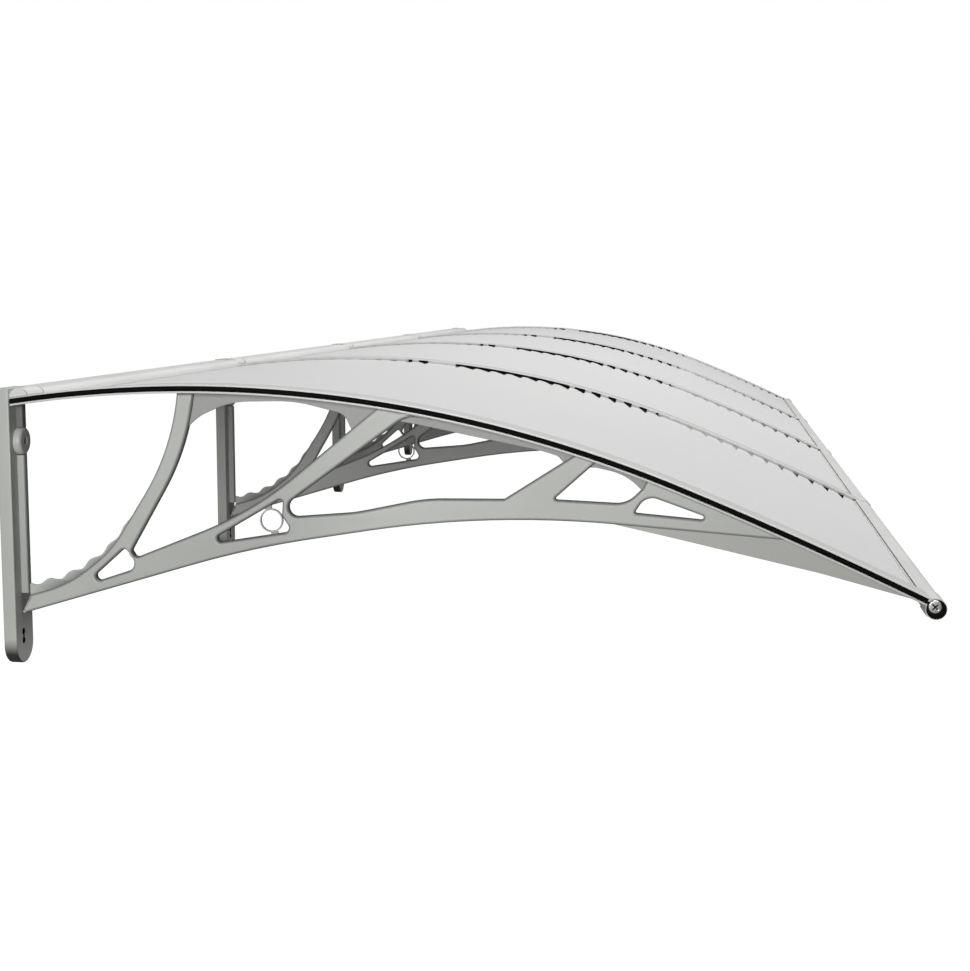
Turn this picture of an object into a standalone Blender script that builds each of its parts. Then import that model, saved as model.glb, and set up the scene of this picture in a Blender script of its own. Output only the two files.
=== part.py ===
"""Door canopy: an arched polycarbonate roof on lattice brackets, with its posts, rails and seals.

Metres, +Z up. The wall is the plane y = 0 and the roof stands out from it toward -Y.
The width runs along X. The origin is on the flat back of the middle post.
"""

import bisect
import math

import bmesh
import bpy
from mathutils import Matrix, Vector

# Layout
MODULE = 0.800
MODULE_COUNT = 4
CLEARANCE = 0.0003

# Curve of the roof: a crown arc that leaves the wall climbing, then a flatter front arc
ROOF_START_HEIGHT = 0.1383
ROOF_START_SLOPE = math.radians(8.6)
CROWN_ARC = 0.750
CROWN_RADIUS = 1.412
CROWN_STEPS = 12
FRONT_ARC = 0.280
FRONT_RADIUS = 4.428
FRONT_STEPS = 4

# Joint profile over each bracket: an H-section lying on its side
PROFILE_WIDTH = 0.046
PROFILE_WEB = 0.010
SLOT_HALF_HEIGHT = 0.0028
UPPER_LIP = 0.0012
LOWER_LIP = 0.0022

# Roof sheet, lying on the lower lips
SHEET_THICKNESS = 0.0026
SHEET_REAR_SETBACK = 0.0030
SHEET_FRONT_TONGUE = 0.0067

# Toothed seal along each joint
SEAL_THICKNESS = 0.0014
SEAL_LOW = 0.0008
SEAL_HIGH = 0.0042
SEAL_TOOTH_PITCH = 0.0252

# Gasket in the open slots at both ends
GASKET_RECESS = 0.0005
GASKET_NOSE = 0.0020

# Wall post
POST_DEPTH = 0.0148
POST_TOP = 0.153
POST_FOOT = -0.160
POST_RIB_WIDTH = 0.010
POST_RIB_PROUD = 0.0080
POST_RIB_EDGE = 0.0010
POST_RIB_FOOT = -0.079
POST_ROUND_STEPS = 10
SLOT_HOLE_RADIUS = 0.0035
SLOT_HOLE_NECK = 0.0040
SLOT_HOLE_PITCH = 0.0110
SLOT_HOLE_HEIGHT = -0.1275
HOLE_STEPS = 6

# Anchor cap on the post
CAP_HEIGHT = 0.093
CAP_RADIUS = 0.0155
CAP_THICKNESS = 0.0085
CAP_EDGE = 0.0037
CAP_SOCKET_RADIUS = 0.0046
CAP_SOCKET_DEPTH = 0.0035
CAP_STEPS = 16
HEXAGON = 6

# Front bar and its sleeves, drawn ahead of the end of the roof curve
NOSE_RADIUS = 0.0100
NOSE_AHEAD = 0.0136
NOSE_LIFT = -0.0020
SLEEVE_OVERSIZE = 0.0008
BAR_LAP = 0.0050
BAR_STEPS = 10
LIP_REACH = 0.0025
LIP_START = math.radians(-119.0)
LIP_END = math.radians(-131.0)

# End disc and its screw
DISC_RADIUS = 0.0093
DISC_THICKNESS = 0.0012
SCREW_RADIUS = 0.0066
SCREW_HEAD = 0.0022
SCREW_CROWN = 0.0008
SCREW_OUT = -0.0031
SCREW_UP = 0.0038
SCREW_CROSS_LENGTH = 0.0072
SCREW_CROSS_WIDTH = 0.0016
SCREW_CROSS_DEPTH = 0.0012
SCREW_CROSS_TURN = math.radians(45.0)
DISC_STEPS = 16

# Wall rail and the caps on the rear ends of the joint profiles
RAIL_REACH = 0.025
RAIL_NOSE_RADIUS = 0.0096
RAIL_BACK_FOOT = 0.131
RAIL_LOWER_JAW = 0.0030
RAIL_NOSE_STEPS = 5
RAIL_CAP_REACH = 0.0225
RAIL_CAP_RISE = 0.0090
RAIL_CAP_STEPS = 8

# Lattice bracket: thicknesses
RIB_THICKNESS = 0.012
WEB_THICKNESS = 0.003
WEB_SINK = 0.0005
FILLET_SAG = 0.00095
WIDEST_FILLET_STEP = math.radians(60.0)
OUT_OF_ROUND = 1e-9
WELD = CLEARANCE / 100

# Lattice bracket: corners as (share of the roof's run, drop below the roof, fillet radius)
FOOT = ((0.0000, 0.2361, 0.001),)
LOWER_EDGE = ((0.2687, 0.1707, 1.127), (0.5367, 0.0900, 1.151))
TIP_SHARE = 0.8601
FRONT_WINDOW = (0.7073, 0.6534)
FRONT_WINDOW_FLOOR = (
    (0.7023, 0.0114, 0.005),
    (0.6854, 0.0341, 0.028),
    (0.6068, 0.0560, 0.0015),
)
MIDDLE_WINDOW = (0.6304, 0.4820)
MIDDLE_WINDOW_FLOOR = (
    (0.5529, 0.0708, 0.0015),
    (0.4663, 0.0902, 0.200),
    (0.3877, 0.1187, 0.200),
    (0.2881, 0.1358, 0.010),
    (0.4451, 0.0049, 0.035),
)
REAR_WINDOW = (0.4139, 0.2074)
REAR_WINDOW_FLOOR = (
    (0.2703, 0.1298, 0.435),
    (0.1234, 0.1870, 0.006),
    (0.1961, 0.0652, 0.280),
)
WALL_WINDOW_SHARE = 0.1873
WALL_WINDOW_FLOOR = (
    (0.1807, 0.0609, 0.280),
    (0.1069, 0.1730, 0.150),
    (0.0547, 0.2086, 0.150),
    (0.0091, 0.2155, 0.001),
    (0.0009, 0.2301, 0.000),
)
HOLES = (
    ((0.0733, 0.2112, 0.0045), (0.1230, 0.1712, 0.004), (0.1388, 0.1943, 0.0095)),
    (
        (0.2147, 0.1685, 0.004),
        (0.3064, 0.1118, 0.003),
        (0.3049, 0.1321, 0.006),
        (0.3163, 0.1481, 0.0055),
    ),
    ((0.6941, 0.0407, 0.0015), (0.7064, 0.0169, 0.016), (0.7822, 0.0136, 0.0022)),
)

# Lattice bracket: thin gusset webs, whose corners are given the same way
REAR_GUSSET = (0.4180, 0.1953)
REAR_GUSSET_FLOOR = (
    (0.1903, 0.0457, 0.0),
    (0.2115, 0.0262, 0.050),
    (0.2480, 0.0095, 0.100),
    (0.3200, 0.0045, 0.150),
    (0.3757, 0.0125, 0.016),
    (0.3900, 0.0400, 0.0),
)
MIDDLE_GUSSET = (0.6320, 0.4280)
MIDDLE_GUSSET_FLOOR = (
    (0.4240, 0.0115, 0.0),
    (0.4582, 0.0115, 0.100),
    (0.5962, 0.0075, 0.150),
    (0.6113, 0.0082, 0.008),
    (0.6214, 0.0172, 0.0),
)
FRONT_GUSSET = (0.7160, 0.6400)
FRONT_GUSSET_FLOOR = (
    (0.6345, 0.0130, 0.0),
    (0.6520, 0.0072, 0.020),
    (0.6840, 0.0035, 0.060),
    (0.7060, 0.0165, 0.0),
)
SAIL_REACH_SHARE = 0.9951
SAIL_ROOF_SHARE = 0.8712
SAIL_FLOOR = (
    (0.8410, 0.0030, 0.0),
    (0.6899, 0.0420, 0.0),
    (0.6657, 0.0622, 0.0),
    (0.7352, 0.0516, 0.300),
    (0.8913, 0.0208, 0.200),
)

# Lattice bracket: scalloped strip along the upper edge at the wall
SCALLOP_START = 0.0035
SCALLOP_LENGTH = 0.175
SCALLOP_PITCH = 0.0292
SCALLOP_FIRST_CREST = 0.0265
SCALLOP_MEAN = 0.0115
SCALLOP_FALL = 1.3
SCALLOP_SWING = 0.0022
SCALLOP_ROOT = 0.0040
SCALLOP_STEPS = 24
SCALLOP_STEPS_PER_ROOT = 4

# Lattice bracket: ring in the rear hole, held at its top and its foot
RING_SHARE = 0.2924
RING_DROP = 0.1381
RING_RADIUS = 0.0131
RING_WALL = 0.0016
RING_LENGTH = 0.0040
RING_STEPS = 12
RING_TAB_WIDTH = 0.0080
RING_TAB_REACH = 0.0075
RING_TAB_ROOT = 0.0120
RING_TAB_SHIFT = 0.0035

# Faces smoother than this angle are shaded as one surface
SMOOTH_ANGLE = math.radians(35.0)


def along_curve(distance):
    """Distance from the wall, height and slope of the roof curve at a length along it."""
    slope = ROOF_START_SLOPE
    out = POST_DEPTH + CLEARANCE
    height = ROOF_START_HEIGHT
    left = distance
    for length, radius in ((CROWN_ARC, CROWN_RADIUS), (FRONT_ARC, FRONT_RADIUS)):
        used = min(left, length)
        turned = slope - used / radius
        out += radius * (math.sin(slope) - math.sin(turned))
        height += radius * (math.cos(turned) - math.cos(slope))
        slope = turned
        left -= used
    out += left * math.cos(slope)
    height += left * math.sin(slope)
    return out, height, slope


ROOF_LENGTH = CROWN_ARC + FRONT_ARC
CROWN_STATIONS = [CROWN_ARC * i / CROWN_STEPS for i in range(CROWN_STEPS)]
FRONT_STATIONS = [CROWN_ARC + FRONT_ARC * i / FRONT_STEPS for i in range(FRONT_STEPS + 1)]
STATIONS = CROWN_STATIONS + FRONT_STATIONS


def lifted(distance, lift):
    """Point above the curve, square to it."""
    out, height, slope = along_curve(distance)
    return out - lift * math.sin(slope), height + lift * math.cos(slope)


def roof_point(distance, lift):
    """Point above the roof line, which runs straight from station to station."""
    index = bisect.bisect_right(STATIONS, distance) - 1
    index = min(max(index, 0), len(STATIONS) - 2)
    start, end = STATIONS[index], STATIONS[index + 1]
    share = (distance - start) / (end - start)
    if distance > ROOF_LENGTH:
        return lifted(distance, lift)
    a, b = lifted(start, lift), lifted(end, lift)
    return a[0] + (b[0] - a[0]) * share, a[1] + (b[1] - a[1]) * share


def stations_between(start, end):
    """Both ends and the stations that lie between them."""
    inner = [s for s in STATIONS if start + CLEARANCE < s < end - CLEARANCE]
    return [start] + inner + [end]


PROFILE_TOP = SLOT_HALF_HEIGHT + UPPER_LIP
PROFILE_UNDERSIDE = -SLOT_HALF_HEIGHT - LOWER_LIP
ARM_LIFT = PROFILE_UNDERSIDE - CLEARANCE
SHEET_UNDERSIDE = -SLOT_HALF_HEIGHT + CLEARANCE
SHEET_TOP = SHEET_UNDERSIDE + SHEET_THICKNESS
SHEET_SLOT_FLOOR = SHEET_UNDERSIDE - CLEARANCE
SHEET_SLOT_ROOF = SHEET_TOP + CLEARANCE
HALF_WIDTH = PROFILE_WIDTH / 2
ARM_ROOF = [lifted(s, ARM_LIFT) for s in STATIONS]
ROOF_OUT = [point[0] for point in ARM_ROOF]
ROOF_RUN = along_curve(ROOF_LENGTH)[0] - along_curve(0.0)[0]
# The curve leaves the wall at a slope, so what lies square on it starts a little out from the post
PROFILE_SETBACK = PROFILE_TOP * abs(math.tan(ROOF_START_SLOPE))
RAIL_CAP_SETBACK = (PROFILE_TOP + RAIL_CAP_RISE) * abs(math.tan(ROOF_START_SLOPE))
PROFILE_LINE = [PROFILE_SETBACK] + STATIONS[1:]
JOINTS = [(i - MODULE_COUNT / 2) * MODULE for i in range(MODULE_COUNT + 1)]
BAYS = list(zip(JOINTS, JOINTS[1:]))


def arm_roof(out):
    """Height of the bracket's upper limit at a distance from the wall."""
    index = bisect.bisect_right(ROOF_OUT, out) - 1
    index = min(max(index, 0), len(ARM_ROOF) - 2)
    (a, low), (b, high) = ARM_ROOF[index], ARM_ROOF[index + 1]
    return low + (high - low) * (out - a) / (b - a)


def spot(share, drop):
    """Point of the bracket at a share of the roof's run and a drop below the roof."""
    out = POST_DEPTH + CLEARANCE + share * ROOF_RUN
    return out, arm_roof(out) - drop


def corners(table):
    """The corners of one table, each as distance, height and fillet radius."""
    return [(*spot(share, drop), fillet) for share, drop, fillet in table]


def along_roof(start_share, end_share, sink):
    """Points under the roof from one share of its run to another, either way."""
    first, last = spot(start_share, sink), spot(end_share, sink)
    low, high = min(first[0], last[0]), max(first[0], last[0])
    inner = [(out, height - sink) for out, height in ARM_ROOF if low < out < high]
    if last[0] < first[0]:
        inner.reverse()
    return [(*point, 0.0) for point in [first] + inner + [last]]


def fillet_steps(radius, turn):
    """Number of straight steps that keep an arc within the sag."""
    step = 2 * math.acos(max(1 - FILLET_SAG / radius, 0.0))
    return max(1, math.ceil(turn / min(step, WIDEST_FILLET_STEP)))


def rounded(points):
    """Closed outline with each corner rounded by its own radius, as far as its edges allow."""
    count = len(points)
    spots = [Vector(point[:2]) for point in points]
    sides = [spots[(i + 1) % count] - spots[i] for i in range(count)]
    turns, needs = [], []
    for i in range(count):
        turn = sides[i - 1].angle(sides[i])
        turns.append(turn)
        needs.append(points[i][2] * math.tan(turn / 2))
    wanted = [needs[i] + needs[(i + 1) % count] for i in range(count)]
    shares = [side.length / max(want, OUT_OF_ROUND) for side, want in zip(sides, wanted)]
    outline = []
    for i in range(count):
        cut = needs[i] * min(1.0, shares[i - 1], shares[i])
        if cut < OUT_OF_ROUND:
            outline.append(tuple(spots[i]))
            continue
        radius = cut / math.tan(turns[i] / 2)
        back, ahead = -sides[i - 1].normalized(), sides[i].normalized()
        centre = spots[i] + (back + ahead).normalized() * radius / math.cos(turns[i] / 2)
        arm = spots[i] + back * cut - centre
        way = math.copysign(1.0, sides[i - 1].cross(sides[i]))
        steps = fillet_steps(radius, turns[i])
        for k in range(steps + 1):
            swing = Matrix.Rotation(way * turns[i] * k / steps, 2)
            outline.append(tuple(centre + swing @ arm))
    return outline


def circle(centre, radius, steps, turn=0.0):
    """Outline of a circle or a regular polygon."""
    angles = [turn + math.tau * i / steps for i in range(steps)]
    return [(centre[0] + radius * math.cos(a), centre[1] + radius * math.sin(a)) for a in angles]


# Outlines are drawn in a plane and pushed along its third axis, then set upright
SIDEWAYS = Matrix(((0, 0, 1, 0), (-1, 0, 0, 0), (0, 1, 0, 0), (0, 0, 0, 1)))
OUTWARD = Matrix(((1, 0, 0, 0), (0, 0, -1, 0), (0, 1, 0, 0), (0, 0, 0, 1)))


def extruded(outlines, start, end, upright):
    """Solid between two parallel copies of an outline, with the inner outlines as holes."""
    solid = bmesh.new()
    for outline in outlines:
        ring = [solid.verts.new((a, b, start)) for a, b in outline]
        for i in range(len(ring)):
            solid.edges.new((ring[i - 1], ring[i]))
    if len(outlines) == 1:
        solid.faces.new(ring)
    else:
        bmesh.ops.triangle_fill(solid, use_beauty=True, edges=solid.edges[:], normal=(0, 0, 1))
    grown = bmesh.ops.extrude_face_region(solid, geom=solid.faces[:])
    moved = [item for item in grown["geom"] if isinstance(item, bmesh.types.BMVert)]
    bmesh.ops.translate(solid, verts=moved, vec=(0, 0, end - start))
    bmesh.ops.transform(solid, matrix=upright, verts=solid.verts[:])
    bmesh.ops.recalc_face_normals(solid, faces=solid.faces[:])
    return solid


def swept(section, distances):
    """Solid that carries a section of sideways and upward offsets along the roof."""
    solid = bmesh.new()
    rings = []
    for distance in distances:
        ring = []
        for side, lift in section:
            out, height = roof_point(distance, lift)
            ring.append(solid.verts.new((side, -out, height)))
        rings.append(ring)
    for ring, following in zip(rings, rings[1:]):
        for i in range(len(ring)):
            solid.faces.new((ring[i - 1], ring[i], following[i], following[i - 1]))
    solid.faces.new(rings[0])
    solid.faces.new(rings[-1])
    bmesh.ops.recalc_face_normals(solid, faces=solid.faces[:])
    return solid


def turned(profile, steps):
    """Solid of revolution about the outward axis, from radius and distance pairs."""
    solid = bmesh.new()
    line = [solid.verts.new((radius, 0.0, reach)) for radius, reach in profile]
    edges = [solid.edges.new(pair) for pair in zip(line, line[1:])]
    axis = Vector((0, 0, 1))
    bmesh.ops.spin(solid, geom=line + edges, cent=(0, 0, 0), axis=axis, steps=steps, angle=math.tau)
    bmesh.ops.remove_doubles(solid, verts=solid.verts[:], dist=WELD)
    bmesh.ops.transform(solid, matrix=OUTWARD, verts=solid.verts[:])
    bmesh.ops.recalc_face_normals(solid, faces=solid.faces[:])
    return solid


def finished(solid, name):
    """Mesh of a solid, shaded smooth over its round faces."""
    mesh = bpy.data.meshes.new(name)
    solid.to_mesh(mesh)
    solid.free()
    mesh.shade_smooth()
    mesh.set_sharp_from_angle(angle=SMOOTH_ANGLE)
    return mesh


def combined(base, tools, operation, name):
    """Mesh of one solid joined with others, or cut by them."""
    body = bpy.data.objects.new(name, finished(base, name))
    bpy.context.scene.collection.objects.link(body)
    helpers = []
    for number, tool in enumerate(tools):
        helper = bpy.data.objects.new(f"{name}_helper_{number}", finished(tool, f"{name}_helper"))
        bpy.context.scene.collection.objects.link(helper)
        helpers.append(helper)
        change = body.modifiers.new("Combine", "BOOLEAN")
        change.solver = "EXACT"
        change.operation = operation
        change.object = helper
    bpy.context.view_layer.update()
    graph = bpy.context.evaluated_depsgraph_get()
    mesh = bpy.data.meshes.new_from_object(body.evaluated_get(graph))
    mesh.name = name
    for used in helpers + [body]:
        bpy.data.objects.remove(used, do_unlink=True)
    mesh.shade_smooth()
    mesh.set_sharp_from_angle(angle=SMOOTH_ANGLE)
    return mesh


def linear(code):
    """Scene colour from a hexadecimal screen colour."""
    values = [int(code[i : i + 2], 16) / 255 for i in (0, 2, 4)]
    return [v / 12.92 if v <= 0.04045 else ((v + 0.055) / 1.055) ** 2.4 for v in values]


def material(name, colour, roughness, metallic):
    """Principled material with one colour."""
    made = bpy.data.materials.new(name)
    made.use_nodes = True
    shader = made.node_tree.nodes["Principled BSDF"]
    shader.inputs["Base Color"].default_value = (*linear(colour), 1.0)
    shader.inputs["Roughness"].default_value = roughness
    shader.inputs["Metallic"].default_value = metallic
    return made


def place(name, mesh, look, x, holder):
    """One piece of the canopy at its place along the width."""
    piece = bpy.data.objects.new(name, mesh)
    bpy.context.scene.collection.objects.link(piece)
    piece.data.materials.clear()
    piece.data.materials.append(look)
    piece.location = (x, 0, 0)
    piece.parent = holder
    return piece


def profile_mesh():
    """H-section joint profile: two lips joined by a web in the middle."""
    web = PROFILE_WEB / 2
    right = [
        (HALF_WIDTH, PROFILE_UNDERSIDE),
        (HALF_WIDTH, -SLOT_HALF_HEIGHT),
        (web, -SLOT_HALF_HEIGHT),
        (web, SLOT_HALF_HEIGHT),
        (HALF_WIDTH, SLOT_HALF_HEIGHT),
        (HALF_WIDTH, PROFILE_TOP),
    ]
    left = [(-side, lift) for side, lift in reversed(right)]
    return finished(swept(right + left, PROFILE_LINE), "arch_profile")


def sheet_mesh():
    """Roof sheet between two profile webs, centred on its bay."""
    half = (MODULE - PROFILE_WEB) / 2 - CLEARANCE
    section = [(-half, SHEET_UNDERSIDE), (half, SHEET_UNDERSIDE), (half, SHEET_TOP), (-half, SHEET_TOP)]
    line = stations_between(SHEET_REAR_SETBACK, ROOF_LENGTH) + [ROOF_LENGTH + SHEET_FRONT_TONGUE]
    return finished(swept(section, line), "roof_sheet")


def seal_mesh():
    """Toothed strip: each tooth climbs slowly toward the front and drops straight down."""
    foot = SHEET_TOP + CLEARANCE
    start = RAIL_REACH + CLEARANCE
    end = ROOF_LENGTH - BAR_LAP - CLEARANCE
    teeth = round((end - start) / SEAL_TOOTH_PITCH)
    pitch = (end - start) / teeth
    ridge = []
    for k in range(teeth):
        ridge.append(roof_point(start + k * pitch, foot + SEAL_LOW))
        ridge.append(roof_point(start + (k + 1) * pitch, foot + SEAL_HIGH))
    outline = [roof_point(s, foot) for s in stations_between(start, end)] + ridge[::-1]
    inner = HALF_WIDTH + CLEARANCE
    return finished(extruded([outline], -inner - SEAL_THICKNESS, -inner, SIDEWAYS), "joint_seal")


def gasket_mesh():
    """Gasket with a nose along the middle of its face, for the slot on the left."""
    face = -HALF_WIDTH + GASKET_RECESS
    back = -PROFILE_WEB / 2 - CLEARANCE
    half = SLOT_HALF_HEIGHT - CLEARANCE
    section = [
        (back, -half),
        (face + GASKET_NOSE, -half),
        (face, 0.0),
        (face + GASKET_NOSE, half),
        (back, half),
    ]
    return finished(swept(section, PROFILE_LINE), "edge_gasket")


def arm_outline():
    """Outer outline of the lattice plate, from the foot along the front and back under the roof."""
    points = corners(FOOT + LOWER_EDGE)
    points += along_roof(TIP_SHARE, FRONT_WINDOW[0], 0.0)
    points += corners(FRONT_WINDOW_FLOOR)
    points += along_roof(FRONT_WINDOW[1], MIDDLE_WINDOW[0], 0.0)
    points += corners(MIDDLE_WINDOW_FLOOR)
    points += along_roof(MIDDLE_WINDOW[1], REAR_WINDOW[0], 0.0)
    points += corners(REAR_WINDOW_FLOOR)
    points += along_roof(REAR_WINDOW[1], WALL_WINDOW_SHARE, 0.0)
    points += corners(WALL_WINDOW_FLOOR)
    return rounded(points)


def web_outline(window, floor):
    """Gusset under the roof, from the front end of a window to its rear end."""
    return rounded(along_roof(window[0], window[1], WEB_SINK) + corners(floor))


def sail_outline():
    """Thin front web, from inside the lattice plate to the front bar."""
    points = along_roof(SAIL_REACH_SHARE, SAIL_ROOF_SHARE, WEB_SINK) + corners(SAIL_FLOOR)
    return rounded(points)


def scallop_outline():
    """Wavy strip along the plate's upper edge, dying out away from the wall."""
    top, upper_bend, lower_bend, foot = corners(WALL_WINDOW_FLOOR[:4])
    edge = rounded([(*foot[:2], 0.0), lower_bend, upper_bend, (*top[:2], 0.0)])
    lengths = [0.0]
    for a, b in zip(edge, edge[1:]):
        lengths.append(lengths[-1] + math.dist(a, b))

    def beside(distance, offset):
        index = min(bisect.bisect_right(lengths, distance), len(lengths) - 1)
        a, b = Vector(edge[index - 1]), Vector(edge[index])
        way = (b - a).normalized()
        point = a + way * (distance - lengths[index - 1])
        return tuple(point + Vector((-way.y, way.x)) * offset)

    crest, root = [], []
    for k in range(SCALLOP_STEPS + 1):
        share = k / SCALLOP_STEPS
        distance = SCALLOP_START + SCALLOP_LENGTH * share
        phase = math.tau * (distance - SCALLOP_FIRST_CREST) / SCALLOP_PITCH
        wave = SCALLOP_SWING * math.cos(phase) * (1 - share**2)
        crest.append(beside(distance, SCALLOP_MEAN * (1 - share) ** SCALLOP_FALL + wave))
        root.append(beside(distance, -SCALLOP_ROOT))
    reach = POST_DEPTH + POST_RIB_PROUD + 2 * CLEARANCE
    start = [(reach, root[0][1]), (reach, crest[0][1])]
    return start + crest[1:-1] + root[:0:-SCALLOP_STEPS_PER_ROOT]


def ring_outlines():
    """Ring, and the two tabs that hold it above and below."""
    centre = spot(RING_SHARE, RING_DROP)
    inner = circle(centre, RING_RADIUS - RING_WALL, RING_STEPS)
    outer = circle(centre, RING_RADIUS, RING_STEPS)
    tabs = []
    for way in (1, -1):
        near = centre[1] + way * RING_TAB_ROOT
        far = centre[1] + way * (RING_TAB_ROOT + RING_TAB_REACH)
        left = centre[0] - way * RING_TAB_SHIFT - RING_TAB_WIDTH / 2
        right = left + RING_TAB_WIDTH
        tabs.append([(left, near), (right, near), (right, far), (left, far)])
    return [outer, inner], tabs


def arm_mesh():
    """Lattice bracket: a thick plate with thin webs, scallops and the ring joined to it."""
    half = RIB_THICKNESS / 2
    thin = WEB_THICKNESS / 2
    plate = extruded([arm_outline()] + [rounded(corners(hole)) for hole in HOLES], -half, half, SIDEWAYS)
    webs = [
        web_outline(REAR_GUSSET, REAR_GUSSET_FLOOR),
        web_outline(MIDDLE_GUSSET, MIDDLE_GUSSET_FLOOR),
        web_outline(FRONT_GUSSET, FRONT_GUSSET_FLOOR),
        sail_outline(),
        scallop_outline(),
    ]
    tools = [extruded([web], -thin, thin, SIDEWAYS) for web in webs]
    ring, tabs = ring_outlines()
    tools.append(extruded(ring, -RING_LENGTH / 2, RING_LENGTH / 2, SIDEWAYS))
    tools += [extruded([tab], -thin, thin, SIDEWAYS) for tab in tabs]
    return combined(plate, tools, "UNION", "bracket_arm")


def slot_hole():
    """Two round holes joined by a narrower neck."""
    half_neck = math.asin(SLOT_HOLE_NECK / 2 / SLOT_HOLE_RADIUS)
    outline = []
    for way in (1, -1):
        centre = SLOT_HOLE_HEIGHT + way * SLOT_HOLE_PITCH / 2
        start = -way * math.pi / 2 + half_neck
        sweep = math.tau - 2 * half_neck
        for k in range(HOLE_STEPS + 1):
            angle = start + sweep * k / HOLE_STEPS
            side, rise = SLOT_HOLE_RADIUS * math.cos(angle), SLOT_HOLE_RADIUS * math.sin(angle)
            outline.append((side, centre + rise))
    return outline


def post_mesh():
    """Flat bar with a round foot, a slot hole and a square rib that stops at the anchor cap."""
    centre = POST_FOOT + HALF_WIDTH
    angles = [math.pi + math.pi * k / POST_ROUND_STEPS for k in range(POST_ROUND_STEPS + 1)]
    outline = [(HALF_WIDTH * math.cos(a), centre + HALF_WIDTH * math.sin(a)) for a in angles]
    outline += [(HALF_WIDTH, POST_TOP), (-HALF_WIDTH, POST_TOP)]
    bar = extruded([outline, slot_hole()], 0.0, POST_DEPTH, OUTWARD)
    half = POST_RIB_WIDTH / 2
    front = POST_DEPTH + POST_RIB_PROUD
    right = [(half, POST_DEPTH / 2), (half, front - POST_RIB_EDGE), (half - POST_RIB_EDGE, front)]
    rib = right + [(-side, out) for side, out in reversed(right)]
    flat = Matrix(((1, 0, 0, 0), (0, -1, 0, 0), (0, 0, 1, 0), (0, 0, 0, 1)))
    cap = CAP_RADIUS + CLEARANCE
    runs = ((POST_RIB_FOOT, CAP_HEIGHT - cap), (CAP_HEIGHT + cap, arm_roof(ROOF_OUT[0])))
    ribs = [extruded([rib], low, high, flat) for low, high in runs]
    return combined(bar, ribs, "UNION", "wall_post")


def cap_mesh():
    """Round cap with a bevelled edge and a hexagon socket."""
    front = CAP_THICKNESS
    side = [(CAP_RADIUS, 0), (CAP_RADIUS, front - CAP_EDGE), (CAP_RADIUS - CAP_EDGE, front)]
    profile = [(0, 0)] + side + [(0, front)]
    body = turned(profile, CAP_STEPS)
    hexagon = circle((0, 0), CAP_SOCKET_RADIUS, HEXAGON)
    socket = extruded([hexagon], front - CAP_SOCKET_DEPTH, front + CAP_SOCKET_DEPTH, OUTWARD)
    shift = Vector((0, -POST_DEPTH - CLEARANCE, CAP_HEIGHT))
    for solid in (body, socket):
        bmesh.ops.translate(solid, verts=solid.verts[:], vec=shift)
    return combined(body, [socket], "DIFFERENCE", "anchor_cap")


def nose_outline(radius, rear):
    """Round-nosed section with a slot for the sheet and a drip lip, in roof coordinates."""
    centre = Vector((NOSE_AHEAD, NOSE_LIFT))
    to_top = Vector((rear, PROFILE_TOP)) - centre
    start = math.atan2(to_top.y, to_top.x) - math.acos(radius / to_top.length)
    angles = [start + (LIP_START - start) * k / BAR_STEPS for k in range(BAR_STEPS + 1)]
    section = [(rear, SHEET_SLOT_ROOF), (rear, PROFILE_TOP)]
    section += [tuple(centre + radius * Vector((math.cos(a), math.sin(a)))) for a in angles]
    for angle in (LIP_START, LIP_END):
        section.append(tuple(centre + (radius + LIP_REACH) * Vector((math.cos(angle), math.sin(angle)))))
    section.append(tuple(centre + radius * Vector((math.cos(LIP_END), math.sin(LIP_END)))))
    throat = SHEET_FRONT_TONGUE + CLEARANCE
    section += [(rear, PROFILE_UNDERSIDE), (rear, SHEET_SLOT_FLOOR)]
    section += [(throat, SHEET_SLOT_FLOOR), (throat, SHEET_SLOT_ROOF)]
    return [roof_point(ROOF_LENGTH + ahead, lift) for ahead, lift in section]


def rail_outline():
    """Wall rail: round nose over the sheet, slot for its rear edge, jaw below."""
    front = roof_point(RAIL_REACH, SHEET_SLOT_ROOF)
    top = front[1] + RAIL_NOSE_RADIUS
    outline = [(0.0, RAIL_BACK_FOOT), (0.0, top)]
    for k in range(RAIL_NOSE_STEPS + 1):
        angle = math.pi / 2 * (1 - k / RAIL_NOSE_STEPS)
        out = front[0] - RAIL_NOSE_RADIUS * (1 - math.cos(angle))
        outline.append((out, front[1] + RAIL_NOSE_RADIUS * math.sin(angle)))
    rear = SHEET_REAR_SETBACK - CLEARANCE
    jaw = SHEET_SLOT_FLOOR - RAIL_LOWER_JAW
    outline += [roof_point(rear, SHEET_SLOT_ROOF), roof_point(rear, SHEET_SLOT_FLOOR)]
    outline += [roof_point(RAIL_REACH, SHEET_SLOT_FLOOR), roof_point(RAIL_REACH, jaw)]
    return outline


def rail_cap_outline():
    """Half-round cap lying on the rear end of a joint profile."""
    foot = PROFILE_TOP + CLEARANCE
    middle = (RAIL_CAP_REACH + RAIL_CAP_SETBACK) / 2
    half = RAIL_CAP_REACH - middle
    outline = []
    for k in range(RAIL_CAP_STEPS + 1):
        angle = math.pi * k / RAIL_CAP_STEPS
        outline.append(roof_point(middle + half * math.cos(angle), foot + RAIL_CAP_RISE * math.sin(angle)))
    return outline


def disc_mesh(way):
    """End disc on the outer face of the sleeve at one end."""
    start = way * (HALF_WIDTH + CLEARANCE)
    centre = lifted(ROOF_LENGTH + NOSE_AHEAD, NOSE_LIFT)
    outline = circle(centre, DISC_RADIUS, DISC_STEPS)
    return finished(extruded([outline], start, start + way * DISC_THICKNESS, SIDEWAYS), "end_disc")


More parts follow.
